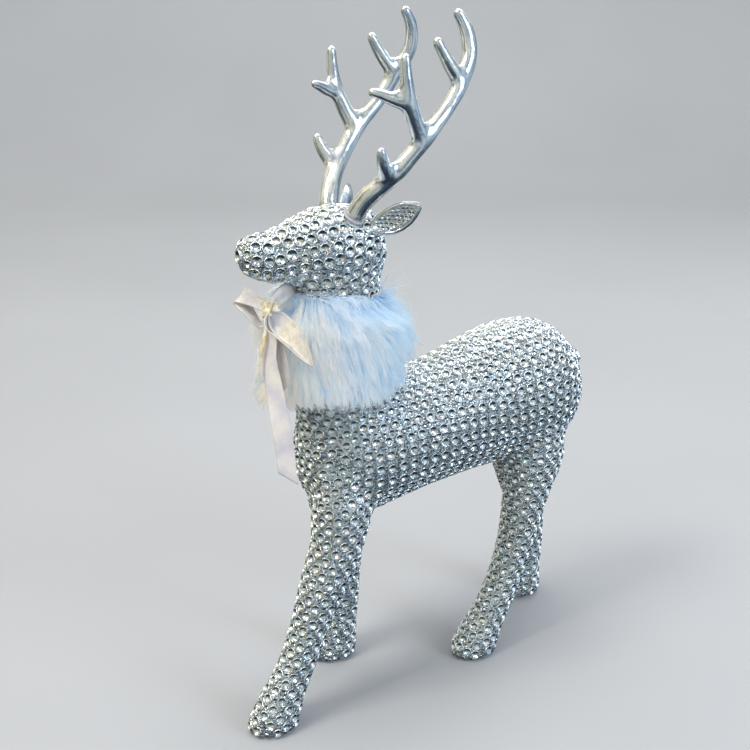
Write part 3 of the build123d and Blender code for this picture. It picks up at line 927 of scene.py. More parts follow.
# ------------------------------------------------------------------ stones as real geometry
def stone_template(nr=14, ng=9):
    V, Fq, Ft, mq, mt = [], [], [], [], []
    prof = [(0.97, -0.05), (1.0, 0.40), (0.96, 0.56), (0.885, 0.58), (0.84, 0.46)]
    for r, h in prof:
        for i in range(nr):
            a = 2 * math.pi * i / nr
            V.append((r * math.cos(a), r * math.sin(a), h))
    for j in range(len(prof) - 1):
        for i in range(nr):
            a, b = j * nr + i, j * nr + (i + 1) % nr
            Fq.append((a, b, b + nr, a + nr))
            mq.append(0)
    base = len(V)
    rings = [(0.86, 0.42, 0), (0.72, 0.50, 0.5), (0.40, 0.20, 0), ]
    for r, h, off in rings:
        for i in range(ng):
            a = 2 * math.pi * (i + off) / ng
            V.append((r * math.cos(a), r * math.sin(a), h))
    V.append((0, 0, 0.12))
    c = len(V) - 1
    for j in range(2):
        for i in range(ng):
            a0, a1 = base + j * ng + i, base + j * ng + (i + 1) % ng
            b0, b1 = base + (j + 1) * ng + i, base + (j + 1) * ng + (i + 1) % ng
            if j == 0:
                Ft += [(a0, a1, b0), (a1, b1, b0)]
            else:
                Ft += [(a0, b1, b0), (a0, a1, b1)]
    for i in range(ng):
        a, b = base + 2 * ng + i, base + 2 * ng + (i + 1) % ng
        Ft.append((a, b, c))
    return np.array(V), np.array(Fq), np.array(Ft)


TV, TQ, TT = stone_template()


def frames(n, spin):
    n = n / np.linalg.norm(n, axis=1)[:, None]
    ref = np.where(np.abs(n[:, 2:3]) < 0.9, [[0, 0, 1.0]], [[0, 1.0, 0]])
    x = np.cross(ref, n)
    x /= np.linalg.norm(x, axis=1)[:, None]
    y = np.cross(n, x)
    c, s = np.cos(spin)[:, None], np.sin(spin)[:, None]
    return x * c + y * s, y * c - x * s, n


def stones(name, p, n, r, sink, tones, tilt=0.05, tmpl=None, lift=1.0):
    """one mesh of many set stones"""
    tv, tq, tt = tmpl or (TV, TQ, TT)
    m = len(p)
    nn = n + rng.normal(0, tilt, (m, 3))
    X, Y, Z = frames(nn, rng.uniform(0, 6.28, m))
    L = tv[None] * r[:, None, None] * np.array([1, 1, lift])
    V = p[:, None] - n[:, None] * sink + L[..., 0:1] * X[:, None] + L[..., 1:2] * Y[:, None] + L[..., 2:3] * Z[:, None]
    k = len(tv)
    off = (np.arange(m) * k)[:, None, None]
    Q = (tq[None] + off).reshape(-1, 4)
    T = (tt[None] + off).reshape(-1, 3)
    g = int(math.ceil(math.sqrt(m)))
    uv = (np.stack([np.arange(m) % g, np.arange(m) // g], 1)[:, None] + 0.5 + tv[None, :, :2] * 0.46) / g
    # painted shade: each point's height within its stone, measured along world up, drives the dark crescent painted on
    # the stone's upper side
    o = build(name, V.reshape(-1, 3), [Q, T], [M_RING, M_GEM], [0, 1], [True, False], uv.reshape(-1, 2),
              {"tone": np.repeat(tones, k), "painted_crescent_shade": np.clip((V[..., 2] - (p[:, 2])[:, None]) / r[:, None], -1, 1).ravel()})
    return o


def bead_template(n=7):
    V, Q, T = [], [], []
    for r, h, off in ((1.0, -0.1, 0), (0.96, 0.45, 0), (0.52, 0.86, 0.5)):
        for i in range(n):
            a = 2 * math.pi * (i + off) / n
            V.append((r * math.cos(a), r * math.sin(a), h))
    V.append((0, 0, 0.93))
    for i in range(n):
        j = (i + 1) % n
        Q.append((i, j, n + j, n + i))
        T += [(n + i, n + j, 2 * n + i), (n + j, 2 * n + j, 2 * n + i), (2 * n + i, 2 * n + j, 3 * n)]
    return np.array(V), np.array(Q), np.array(T)


BT = bead_template()
LP, LN, LR = np.array(LAY.p), np.array(LAY.n), np.array(LAY.r)
bwho = np.array([SHEETS.index(node_of(p)) for p in BEAD_P])
for k, s in enumerate(SHEETS):
    sel = bwho == k
    if not sel.any():
        continue
    o = stones(s.replace("stone_sheet", "beads"), BEAD_P[sel], BEAD_N[sel], BEAD_R[sel], 0.0007, rng.uniform(0, 1, sel.sum()), 0.14, BT)
    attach(o, ROOT)
who = np.array([SHEETS.index(node_of(p)) for p in LP])
for k, s in enumerate(SHEETS):
    sel = who == k
    if not sel.any():
        continue
    o = stones(s.replace("_sheet", "s"), LP[sel], LN[sel], LR[sel], 0.0010, rng.uniform(0, 1, sel.sum()), 0.06)
    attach(o, ROOT)

# ------------------------------------------------------------------ antlers
for nm in ("left", "right"):
    v, t = mesh_np(N["antler_" + nm].data)
    c, ax, tt_ = AX[nm]
    V, F = remesh(v, t, 0.00055)
    V, F = largest(V, F)
    # webs at the forks: swell, join and draw back in, above the foot only
    g_ = sstep(tt_ + 0.004, tt_ + 0.013, (V - c) @ ax)
    V = V + normals_q(V, F) * (0.0027 * g_)[:, None]
    V, F = remesh(V, F, 0.00055)
    V, F = largest(V, F)
    for _ in range(3):
        g_ = sstep(tt_ + 0.004, tt_ + 0.013, (V - c) @ ax)
        V = V - normals_q(V, F) * (0.0009 * g_)[:, None]
        V = lap_smooth(V, F, 3, w=g_)
    V, F = remesh(V, F, 0.00055)
    V, F = largest(V, F)
    h = (V - c) @ ax
    w = sstep(tt_ + 0.0006, tt_ + 0.004, h)
    V0 = V.copy()
    V = lap_smooth(V, F, 30, w=w, lam=0.5)
    # give back the thickness the smoothing takes, but not the sharp creases at the forks
    nn = normals_q(V, F)
    loss = np.einsum("ij,ij->i", V0 - V, nn)
    e_ = edges_of(F)
    for _ in range(60):
        acc = np.bincount(e_[:, 0], loss[e_[:, 1]], len(V)) + np.bincount(e_[:, 1], loss[e_[:, 0]], len(V))
        cnt = np.bincount(e_[:, 0], minlength=len(V)) + np.bincount(e_[:, 1], minlength=len(V))
        loss = 0.5 * loss + 0.5 * acc / np.maximum(cnt, 1)
    V = V + nn * ((np.clip(loss, 0, 0.0009) * 1.05 + 0.00012) * w)[:, None]
    # slow swelling and long shallow ridges, as a moulded antler has
    nz = gnoise(V, 85.0, 3) * 0.00036 + gnoise(V * np.array([1, 1, 0.25]), 420.0, 5) * 0.00010
    V = V + normals_q(V, F) * (nz * w)[:, None]
    V = lap_smooth(V, F, 2, w=w)
    o = build("antler_plated_" + nm, V, [F], [M_PLATE])
    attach(o, "antler_" + nm)
    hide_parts("antler_" + nm)


# ------------------------------------------------------------------ ears
# small stones set close round the foot of each antler
for nm in ("left", "right"):
    sv_, st_ = mesh_np(N["antler_socket_" + nm].data)
    sc_ = sv_.mean(0)
    ev_, eu_ = np.linalg.eigh(np.cov((sv_ - sc_).T))
    av_, at_ = mesh_np(N["antler_" + nm].data)
    ways = [eu_[:, i] * np.sign(eu_[2, i]) for i in range(3)]
    ax_ = max(ways, key=lambda w: w[2])
    e1_ = np.cross(ax_, (0, 0, 1.0))
    e1_ /= np.linalg.norm(e1_)
    e2_ = np.cross(ax_, e1_)
    fp_, fn2_ = [], []
    for i in range(20):
        a = 2 * math.pi * i / 20
        w = e1_ * math.cos(a) + e2_ * math.sin(a)
        loc, nr_, _, _ = skin.find_nearest(tuple(sc_ + ax_ * 0.0135 + w * 0.0066))
        q_ = np.array(loc)
        off = q_ - sc_
        rr_ = np.linalg.norm(off - ax_ * (off @ ax_))
        if rr_ > 0.0061:
            fp_.append(q_)
            fn2_.append(np.array(nr_) * 0.5 + w * 0.3 + ax_ * 0.4)
    fn2_ = np.array(fn2_)
    fn2_ /= np.linalg.norm(fn2_, axis=1)[:, None]
    o = stones("antler_foot_stones_" + nm, np.array(fp_), fn2_, np.full(len(fp_), 0.00098), 0.0, rng.uniform(0, 1, len(fp_)), 0.1)
    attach(o, ROOT)
    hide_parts("head_stone_sheet")


def ear(nm, side):
    vb, _ = mesh_np(N["ear_" + nm].data)
    e1 = unit((side * 0.651, 0.658, 0.378))
    e2 = unit(np.array([0, 0, 1.0]) - e1[2] * e1)
    n = np.cross(e1, e2) * side
    if n[1] > 0:
        n = -n
    t = (vb @ e1)
    root = vb[np.argmin(t)]
    mid = (vb.min(0) + vb.max(0)) / 2
    L = np.ptp(t)
    wd = np.ptp(vb @ e2) * 0.5
    # the leaf's own middle line
    line = root + e1 * 0
    line = line + e2 * ((mid - root) @ e2) * 0.0 + n * ((mid - root) @ n)
    nu, nv = 34, 21
    us = np.linspace(0, 1, nu)
    vs = np.linspace(-1, 1, nv)
    prof = np.interp(us, [0, .08, .2, .38, .55, .72, .86, .95, 1.0], [.20, .46, .78, .98, 1.0, .86, .56, .28, .05])
    bend = 0.16 * us ** 2
    V = []
    for i, u in enumerate(us):
        for j, v in enumerate(vs):
            cup = 0.0042 * (1 - abs(v) ** 2.2) * math.sin(math.pi * min(1, u * 0.92 + 0.06)) ** 0.8
            p = line + e1 * (L * u) + e2 * (wd * prof[i] * v * (0.98 if v < 0 else 0.94) + wd * bend[i] * 2.2 - wd * 0.05) - n * cup + n * 0.0012
            V.append(p)
    V = np.array(V)
    F = []
    for i in range(nu - 1):
        for j in range(nv - 1):
            a = i * nv + j
            F.append((a, a + 1, a + nv + 1, a + nv))
    F = np.array(F)
    nn = normals_q(V, F)
    if (nn.mean(0) @ n) < 0:
        F = F[:, ::-1]
        nn = -nn
    jj = np.tile(np.abs(vs), nu)
    ii = np.repeat(us, nv)
    edge = np.maximum(sstep(0.72, 0.92, jj), np.maximum(sstep(0.86, 0.97, ii), 1 - sstep(0.02, 0.14, ii)))
    up = V + nn * (0.00025 + 0.0011 * edge)[:, None]
    dn = V - nn * 0.0009
    m = len(V)
    bnd = [i * nv for i in range(nu)] + [(nu - 1) * nv + j for j in range(1, nv)] + [i * nv + nv - 1 for i in range(nu - 2, -1, -1)] + [j for j in range(nv - 2, 0, -1)]
    side_f = []
    for a, b in zip(bnd, bnd[1:] + bnd[:1]):
        side_f.append((a, b, b + m, a + m))
    side_f = np.array(side_f)
    # orient the rim outward
    q = (up[side_f[:, 0]] + up[side_f[:, 1]]) / 2 - V.mean(0)
    allV = np.concatenate([up, dn])
    fn = np.cross(allV[side_f[:, 1]] - allV[side_f[:, 0]], allV[side_f[:, 3]] - allV[side_f[:, 0]])
    if (np.einsum("ij,ij->i", fn, q)).mean() < 0:
        side_f = side_f[:, ::-1]
    AF = np.concatenate([F, F[:, ::-1] + m, side_f])
    o = build("ear_tmp", allV, [AF], [M_PLATE])
    md = o.modifiers.new("s", "SUBSURF")
    md.levels = md.render_levels = 1
    dg = bpy.context.evaluated_depsgraph_get()
    me = bpy.data.meshes.new_from_object(o.evaluated_get(dg))
    bpy.data.objects.remove(o)
    for pz in me.polygons:
        pz.use_smooth = True
    o = bpy.data.objects.new("ear_plated_" + nm, me)
    COL.objects.link(o)
    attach(o, ROOT)
    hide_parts("ear_" + nm)
    # small stones over the cup
    P_, N_ = [], []
    pitch = 0.0025
    for a in range(-12, 13):
        for b in range(0, 16):
            u = (b + 0.5) * pitch * 0.88 / L
            vv_ = (a + 0.5 * (b % 2)) * pitch
            if not 0.10 < u < 0.90:
                continue
            wv = wd * float(np.interp(u, us, prof))
            v = vv_ / max(wv, 1e-5)
            if abs(v) > 0.74 or wv < 0.002:
                continue
            fi, fj = u * (nu - 1), (v + 1) / 2 * (nv - 1)
            i0, j0 = int(fi), int(fj)
            idx = i0 * nv + j0
            P_.append(up[idx] * (1 - fi + i0) * (1 - fj + j0) + up[idx + 1] * (1 - fi + i0) * (fj - j0) + up[idx + nv] * (fi - i0) * (1 - fj + j0) + up[idx + nv + 1] * (fi - i0) * (fj - j0))
            N_.append(nn[idx])
    P_, N_ = np.array(P_), np.array(N_)
    o = stones("ear_stones_" + nm, P_, N_, rng.uniform(0.00106, 0.00128, len(P_)), 0.0001, rng.uniform(0, 1, len(P_)), 0.12)
    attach(o, ROOT)
    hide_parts("ear_stone_field_" + nm)


ear("left", 1)
ear("right", -1)

# ------------------------------------------------------------------ fur collar
fv, ft = mesh_np(N["fur_collar"].data)
FV, FF = remesh(fv, ft, 0.0017, 6)
FV, FF = largest(FV, FF)
fcx = np.array([0, (FUR_LO[1] + FUR_HI[1]) / 2, 0])
rad = FV[:, :2] - fcx[:2]
rad_n = np.linalg.norm(rad, axis=1)
fn_ = normals_q(FV, FF)
outw = (fn_[:, 0] * rad[:, 0] + fn_[:, 1] * rad[:, 1]) / np.maximum(rad_n, 1e-6)
w_out = sstep(-0.1, 0.4, outw)
lump = vnoise(FV, 70.0, 5.0)
FV2 = FV - fn_ * (0.0032 * w_out)[:, None] + fn_ * (lump * 0.0022 * w_out)[:, None]
zf = (FV2[:, 2] - FUR_LO[2]) / (FUR_HI[2] - FUR_LO[2])
low = 1.0 - sstep(0.05, 0.72, zf)
back_ = sstep(-0.1, 0.8, rad[:, 1] / 0.04)
# the collar is fullest above its middle and draws in below, most of all over the back
FV2[:, 1] -= (0.0125 * low + 0.0062 * sstep(0.2, 0.5, zf) * (1 - sstep(0.8, 1.0, zf))) * back_
FV2[:, 2] += 0.0006 * sstep(0.75, 1.0, zf) * back_
front_ = sstep(-0.1, 0.8, -rad[:, 1] / 0.04)
FV2[:, 1] += (0.0016 * sstep(0.42, 0.72, zf) - 0.0030 * (1 - sstep(0.1, 0.45, zf))) * front_
FV2[:, 0] -= 0.0025 * low * np.sign(rad[:, 0]) * sstep(0.2, 0.9, np.abs(rad[:, 0]) / 0.035)
FV2[:, 2] += 0.0050 * (1 - sstep(0.0, 0.35, zf)) + 0.0040 * (1 - sstep(0.0, 0.5, zf)) * back_
FV2 = lap_smooth(FV2, FF, 3)
fn_ = normals_q(FV2, FF)
o = build("fur_hide", FV2, [FF], [M_FURB], attrs={"tone": sstep(-0.3, 0.3, lump)})
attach(o, ROOT)
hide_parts("fur_collar")


fur_tri = np.concatenate([FF[:, [0, 1, 2]], FF[:, [0, 2, 3]]])
_a, _b, _c = FV2[fur_tri[:, 0]], FV2[fur_tri[:, 1]], FV2[fur_tri[:, 2]]
fur_area = np.linalg.norm(np.cross(_b - _a, _c - _a), axis=1)
fur_n = fn_[fur_tri].mean(1)
fur_n /= np.linalg.norm(fur_n, axis=1)[:, None]
_cen = (_a + _b + _c) / 3
_z = (_cen[:, 2] - FUR_LO[2]) / (FUR_HI[2] - FUR_LO[2])
_ro = _cen[:, :2] - fcx[:2]
_ow = (fur_n[:, 0] * _ro[:, 0] + fur_n[:, 1] * _ro[:, 1]) / np.linalg.norm(_ro, axis=1)
fur_w = fur_area * (sstep(-0.15, 0.25, _ow) + 0.6 * (_z > 0.88))
fur_w /= fur_w.sum()


def unit_rows(a):
    return a / (np.linalg.norm(a, axis=1)[:, None] + 1e-12)


def paths(count, seed, length, lift_add, wild, NS):
    """the middle lines of count hairs"""
    r = np.random.default_rng(seed)
    pick = r.choice(len(fur_tri), count, p=fur_w)
    k = r.dirichlet((1, 1, 1), count)
    p = _a[pick] * k[:, :1] + _b[pick] * k[:, 1:2] + _c[pick] * k[:, 2:3]
    n = fur_n[pick]
    big = np.stack([gnoise(p, 95, 1 + i) for i in range(3)], 1)
    lock = np.stack([gnoise(p, 240, 11 + i) for i in range(3)], 1)
    cc = big * 0.60 + lock * 0.60 + r.normal(0, wild, (count, 3))
    z = (p[:, 2] - FUR_LO[2]) / (FUR_HI[2] - FUR_LO[2])
    rear = sstep(-0.2, 0.9, (p[:, 1] - fcx[1]) / 0.045)
    front = sstep(0.3, 0.95, -(p[:, 1] - fcx[1]) / 0.045)
    d = np.stack([cc[:, 2] * 0.40, 0.40 + 0.42 * cc[:, 0] - 0.30 * front, -1.0 + 0.30 * cc[:, 1]], 1)
    d = unit_rows(d - np.einsum("ij,ij->i", d, n)[:, None] * n)
    lift = 0.18 + 0.24 * sstep(0.55, 1.0, z) + 0.22 * rear * sstep(0.25, 0.8, z) + 0.22 * cc[:, 0] + lift_add
    d = unit_rows(d + n * np.clip(lift, 0.02, 1.2)[:, None])
    L = length * r.uniform(0.75, 1.25, count) * (1.0 + 0.12 * rear)
    # tips stay near the collar's lower hem
    room = p[:, 2] - (FUR_LO[2] + 0.0012 + r.normal(0, 0.0024, count) + 0.0035 * big[:, 1] + 0.0075 * rear)
    L = np.clip(np.minimum(L, room / np.maximum(0.25, -d[:, 2] + 0.18)), 0.0022, None)
    curl = big[:, 0] * 0.16 + r.normal(0, 0.04, count)
    side = unit_rows(np.cross(d, n))
    step = L / (NS - 1)
    out = np.zeros((count, NS, 3))
    root = p.copy()
    for s in range(NS):
        out[:, s] = p
        p = p + d * step[:, None]
        d = unit_rows(d + np.array([0, 0.012, -0.075]) + side * curl[:, None] - n * 0.03)
        side = unit_rows(side - np.einsum("ij,ij->i", side, d)[:, None] * d)
    return out, root, n, lock, big, r


NSEG = 6
GUIDE, GROOT = paths(1500, 77, 0.0160, 0.08, 0.20, NSEG)[:2]
GTONE = np.random.default_rng(5).uniform(0, 1, len(GUIDE))
gkd = KDTree(len(GROOT))
for i, p in enumerate(GROOT):
    gkd.insert(p, i)
gkd.balance()


def hairs(name, count, seed, length, lift_add, thick, wild=0.10, clump=0.80, shine=0.0):
    """count tapered strands, lying down and back, gathered towards the tips of their locks"""
    NS = NSEG
    C, root, n, lock, big, r = paths(count, seed, length, lift_add, wild, NS)
    gi = np.array([gkd.find(p)[1] for p in root])
    f = (np.arange(NS) / (NS - 1))[None, :, None]
    pull = clump * r.uniform(0.6, 1.15, count)[:, None, None] * f ** 1.25
    C = C + (GUIDE[gi] - C) * pull
    th = thick * r.uniform(0.75, 1.3, count)
    ang = np.array([0, 2.094, 4.189])
    Vs = np.zeros((count, NS, 3, 3))
    tone = np.zeros((count, NS, 3))
    t0 = 0.80 * GTONE[gi] + 0.18 + 0.22 * big[:, 2] + r.normal(0, 0.16, count) + shine
    tan = np.gradient(C, axis=1)
    for s in range(NS):
        q_ = s / (NS - 1)
        d = unit_rows(tan[:, s])
        side = unit_rows(np.cross(d, n))
        u2 = np.cross(d, side)
        rr = th * (1 - q_ ** 1.5) + 0.000010
        for q in range(3):
            Vs[:, s, q] = C[:, s] + rr[:, None] * (math.cos(ang[q]) * side + math.sin(ang[q]) * u2)
            tone[:, s, q] = np.clip(-0.04 + 0.50 * q_ + 0.56 * t0, 0, 1)
    base = (np.arange(count) * NS * 3)[:, None, None]
    q = []
    for s in range(NS - 1):
        for m in range(3):
            a_, b_ = s * 3 + m, s * 3 + (m + 1) % 3
            q.append((a_, b_, b_ + 3, a_ + 3))
    Q = (np.array(q)[None] + base).reshape(-1, 4)
    T = (np.array([[(NS - 1) * 3, (NS - 1) * 3 + 1, (NS - 1) * 3 + 2], [2, 1, 0]])[None] + base).reshape(-1, 3)
    V = Vs.reshape(-1, 3)
    g = int(math.ceil(math.sqrt(count)))
    cell = np.stack([np.arange(count) % g, np.arange(count) // g], 1)[:, None, None] + 0.5
    loc = np.zeros((1, NS, 3, 2))
    loc[0, :, :, 1] = (np.arange(NS) / (NS - 1) - 0.5)[:, None] * 0.8
    loc[0, :, :, 0] = np.array([-0.3, 0, 0.3])[None]
    uv = ((cell + loc) / g).reshape(-1, 2)
    o = build(name, V, [Q, T], [M_FUR], None, [True, True], uv, {"tone": tone.ravel()})
    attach(o, ROOT)
    return o


NH = 6100
for i in range(9):
    hairs("fur_hair_%d" % (i + 1), NH, 100 + i, 0.0138 + 0.0006 * i, 0.018 * i - 0.06, 0.000092)
hairs("fur_guard_hair", 3400, 260, 0.0215, 0.05, 0.000140, 0.16, 0.70, 0.42)
hairs("fur_wisps", 4200, 300, 0.0165, 0.26, 0.000060, 0.30, 0.30, 0.3)

# ------------------------------------------------------------------ ribbon
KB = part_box("bow_knot")
K = np.array([(KB[0][i] + KB[1][i]) / 2 for i in range(3)])
az, el = math.radians(57), math.radians(19)
VR = np.array([math.cos(az), math.sin(az), 0])
VB = np.array([math.sin(az) * math.cos(el), -math.cos(az) * math.cos(el), math.sin(el)])
VU = np.cross(VB, VR)


def vp(r, u, d):
    """a point r mm right, u mm up and d mm near, from the knot, in the bow's own view frame"""
    return K + (VR * r + VU * u + VB * d) * MM


def catmull(P_, n):
    P_ = np.array(P_, float)
    Q = np.vstack([2 * P_[0] - P_[1], P_, 2 * P_[-1] - P_[-2]])
    out = []
    m = len(P_) - 1
    for t in np.linspace(0, m, n):
        i = min(int(t), m - 1)
        f = t - i
        a, b, c, d = Q[i], Q[i + 1], Q[i + 2], Q[i + 3]
        out.append(0.5 * ((2 * b) + (-a + c) * f + (2 * a - 5 * b + 4 * c - d) * f ** 2 + (-a + 3 * b - 3 * c + d) * f ** 3))
    return np.array(out)


def ribbon(name, ctrl, node=None, n=60, m=13, thick=0.00038, crown=0.0, cut=0.0, wave=0.0, fold=0.0, painted_gold_glint=0.0, shade=0.0):
    """ctrl: rows of (r, u, d, wr, wu, wd): centre and half-width vector, all mm in the view frame"""
    C = catmull([c[:3] for c in ctrl], n)
    W = catmull([c[3:6] for c in ctrl], n)
    cen = np.array([vp(*c) for c in C])
    wv = np.array([(VR * w[0] + VU * w[1] + VB * w[2]) * MM for w in W])
    s = np.linspace(-1, 1, m)
    lens = np.concatenate([[0], np.cumsum(np.linalg.norm(np.diff(cen, axis=0), axis=1))])
    tan = np.gradient(cen, axis=0)
    nrm = np.cross(tan, wv)
    nrm /= np.linalg.norm(nrm, axis=1)[:, None] + 1e-12
    top = cen[:, None] + wv[:, None] * s[None, :, None] + nrm[:, None] * (crown * (1 - s ** 2))[None, :, None]
    if cut:
        tl_ = tan / (np.linalg.norm(tan, axis=1)[:, None] + 1e-12)
        k = sstep(n - 8, n - 1, np.arange(n))
        top += tl_[:, None] * (k[:, None] * cut * s[None])[..., None]
    if wave:
        ph = lens[:, None] * 260 + s[None] * 1.4
        top += nrm[:, None] * (np.sin(ph) * wave)[..., None]
    if fold:
        top += nrm[:, None] * (fold * np.sin(s[None] * 4.2 + lens[:, None] * 60) * sstep(0.0, 0.25, np.linspace(0, 1, n))[:, None])[..., None]
    e = (np.abs(s) > 0.86) * 0.00016
    h = thick / 2 + e
    A = top + nrm[:, None] * h[None, :, None]
    B = top - nrm[:, None] * h[None, :, None]
    V = np.concatenate([A.reshape(-1, 3), B.reshape(-1, 3)])
    k = n * m
    F = []
    for i in range(n - 1):
        for j in range(m - 1):
            a = i * m + j
            F.append((a, a + m, a + m + 1, a + 1))
            F.append((k + a, k + a + 1, k + a + m + 1, k + a + m))
    for i in range(n - 1):
        a = i * m
        F.append((a, k + a, k + a + m, a + m))
        a = i * m + m - 1
        F.append((a, a + m, k + a + m, k + a))
    for j in range(m - 1):
        a = j
        F.append((a, a + 1, k + a + 1, k + a))
        a = (n - 1) * m + j
        F.append((a, k + a, k + a + 1, a + 1))
    F = np.array(F)
    # outward orientation check on the first top face
    if np.cross(V[F[0, 1]] - V[F[0, 0]], V[F[0, 3]] - V[F[0, 0]]) @ nrm[0] < 0:
        F = F[:, ::-1]
    # painted glint: how strongly each row of the strip is painted gold where it catches the light
    g = np.interp(np.linspace(0, 1, n), np.linspace(0, 1, len(painted_gold_glint)), painted_gold_glint) if isinstance(painted_gold_glint, list) else np.full(n, painted_gold_glint)
    g = np.concatenate([np.repeat(g, m)] * 2)
    h_ = np.interp(np.linspace(0, 1, n), np.linspace(0, 1, len(shade)), shade) if isinstance(shade, list) else np.full(n, shade)
    h_ = np.concatenate([np.repeat(h_, m)] * 2)
    o = build(name, V, [F], [M_SATIN], attrs={"painted_gold_glint": g, "shade": h_})
    uvl = o.data.uv_layers.new(name="UVMap")
    u_ = np.concatenate([np.repeat(lens, m)] * 2)
    v_ = np.concatenate([np.tile(s * 0.005, n)] * 2)
    li = np.zeros(len(o.data.loops), np.int32)
    o.data.loops.foreach_get("vertex_index", li)
    uvl.data.foreach_set("uv", np.stack([u_, v_], 1)[li].astype(np.float32).ravel())
    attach(o, ROOT)
    if node:
        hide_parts(node)
    return o


ribbon("satin_loop_right", [(-0.8, 2.0, 1.2, 0.3, 3.0, 0), (-4.5, 4.2, 2.6, -0.4, 4.2, 0.6), (-9.2, 6.6, 3.4, -0.8, 4.6, 0.6), (-12.4, 7.8, 2.6, 1.6, 4.2, 0.2),
                            (-13.6, 7.6, 0.6, 3.2, 3.5, -0.4), (-13.2, 5.4, -1.0, 3.0, 3.2, -1.4), (-11.2, 2.2, -1.6, 2.0, 2.3, -3.4), (-8.4, -2.0, -1.2, 1.5, 1.5, -3.6), (-5.4, -5.8, -0.2, 1.0, 1.0, -3.4),
                            (-3.2, -7.6, 0.4, 0.6, 0.9, -2.6), (-1.4, -6.4, 0.6, 0.3, 1.0, -2.0)],
       "bow_loop_right", crown=0.0003, n=80, painted_gold_glint=[0.55, 0.24, 0.20, 0.12, 0.0, 0.0, 0.0, 0.0], shade=[0.0, 0.0, 0.0, 0.0, 0.25, 0.4, 0.35, 0.3, 0.3])
# far wall of the other loop: its hollow side faces out, round near the knot and drawn to a tip
ribbon("satin_loop_left", [(0.6, -2.6, 3.2, 0.2, 2.0, 0.0), (3.8, -5.3, 3.4, 3.0, 4.7, -0.6), (8.0, -8.6, 4.3, 3.5, 4.3, -0.6), (13.4, -13.6, 5.0, 2.7, 4.1, -0.2),
                           (17.6, -19.4, 4.8, 2.0, 3.2, 0.2), (21.2, -26.0, 3.8, 0.9, 0.9, 0.2), (21.8, -27.2, 3.6, 0.4, 0.4, 0.2)],
       "bow_loop_left", crown=-0.0013, n=70, fold=0.00035, painted_gold_glint=[0.0, 0.0, 0.50, 0.35, 0.08, 0.0], shade=[1.0, 1.0, 0.35, 0.0, 0.0, 0.1, 0.7])
# near wall: seen on its edge along the lower side of the loop
ribbon("satin_loop_left_edge", [(0.6, -1.4, 4.4, 0.5, 0.3, -1.6), (-0.6, -4.6, 6.0, 0.5, 0.1, -2.6), (0.2, -9.4, 6.9, 0.45, -0.3, -3.0), (4.4, -13.2, 7.0, 0.3, -0.4, -3.0), (10.8, -18.6, 6.4, 0.25, -0.35, -2.6),
                                (16.0, -23.4, 5.4, 0.25, -0.3, -1.8), (21.4, -27.4, 4.2, 0.3, -0.3, -0.7)],
       "bow_loop_left", n=70, thick=0.0003, painted_gold_glint=[0.2, 0.1, 0.0, 0.0])
ribbon("satin_tail_long", [(0.2, -2.4, 2.4, 0.8, 0.2, 1.6), (0.2, -7.3, 3.4, 1.0, 0.2, 2.8), (1.5, -13.7, 3.0, 2.7, 0.4, 2.6), (0.9, -23.4, 3.0, 3.4, 0.2, 2.4), (2.3, -33.2, 2.4, 4.0, 0.1, 1.6), (5.5, -52.7, 0.4, 4.7, 0.2, 0.6),
                           (7.6, -66, -1.6, 4.7, 0.3, 0.4), (9.4, -82.5, -4.6, 4.6, 0.3, 0.2)],
       "ribbon_tail_long", cut=0.0034, wave=0.00022, n=96, painted_gold_glint=[0.3, 0.08, 0.0, 0.0, 0.0, 0.0, 0.0, 0.0])
# the tail's left margin turns over just below the knot and shows as a narrow line with a painted gold glint
ribbon("satin_tail_fold", [(-0.2, -3.4, 2.8, 0.4, 0.0, 0.9), (-1.0, -9.0, 3.4, 0.7, 0.1, 0.8), (-1.9, -14.5, 3.6, 1.0, 0.2, 0.6), (-3.2, -21.0, 3.4, 0.7, 0.2, 0.5), (-3.3, -27.0, 2.8, 0.35, 0.1, 0.4), (-2.7, -35.0, 2.2, 0.25, 0.1, 0.3)],
       "ribbon_tail_long", n=50, m=7, thick=0.0003, painted_gold_glint=[0.9, 0.7, 0.9, 0.8, 0.3, 0.1])
ribbon("satin_tail_short", [(1.8, -3.0, 0.6, 1.8, 0.2, 0.8), (4.6, -12, 0.9, 2.4, 0.2, 2.2), (6.9, -24, 0.9, 2.7, 0.2, 2.4), (8.9, -37.5, 0.2, 2.7, 0.4, 2.0)],
       "ribbon_tail_short", cut=-0.003, wave=0.0003, shade=0.55)
# the knot: a short strip wound round the middle of the bow, painted with a strong gold glint
kn = []
for i in range(13):
    a = 2 * math.pi * i / 12 + 0.4
    kn.append((2.3 * math.cos(a), 0.2 + 0.5 * math.sin(a), 1.8 + 2.4 * math.sin(a), 0.5, 3.5, 0.2))
ribbon("satin_knot", kn, "bow_knot", n=60, crown=0.0005, fold=0.0003, painted_gold_glint=0.85)
kn = []
for i in range(13):
    a = 2 * math.pi * i / 12 + 0.9
    kn.append((3.6 + 2.2 * math.cos(a), 1.2 + 0.5 * math.sin(a), 1.0 + 2.0 * math.sin(a), -0.3, 2.6, 0.1))
ribbon("satin_knot_side", kn, "bow_knot", n=50, crown=0.0004, fold=0.0003, painted_gold_glint=0.45)
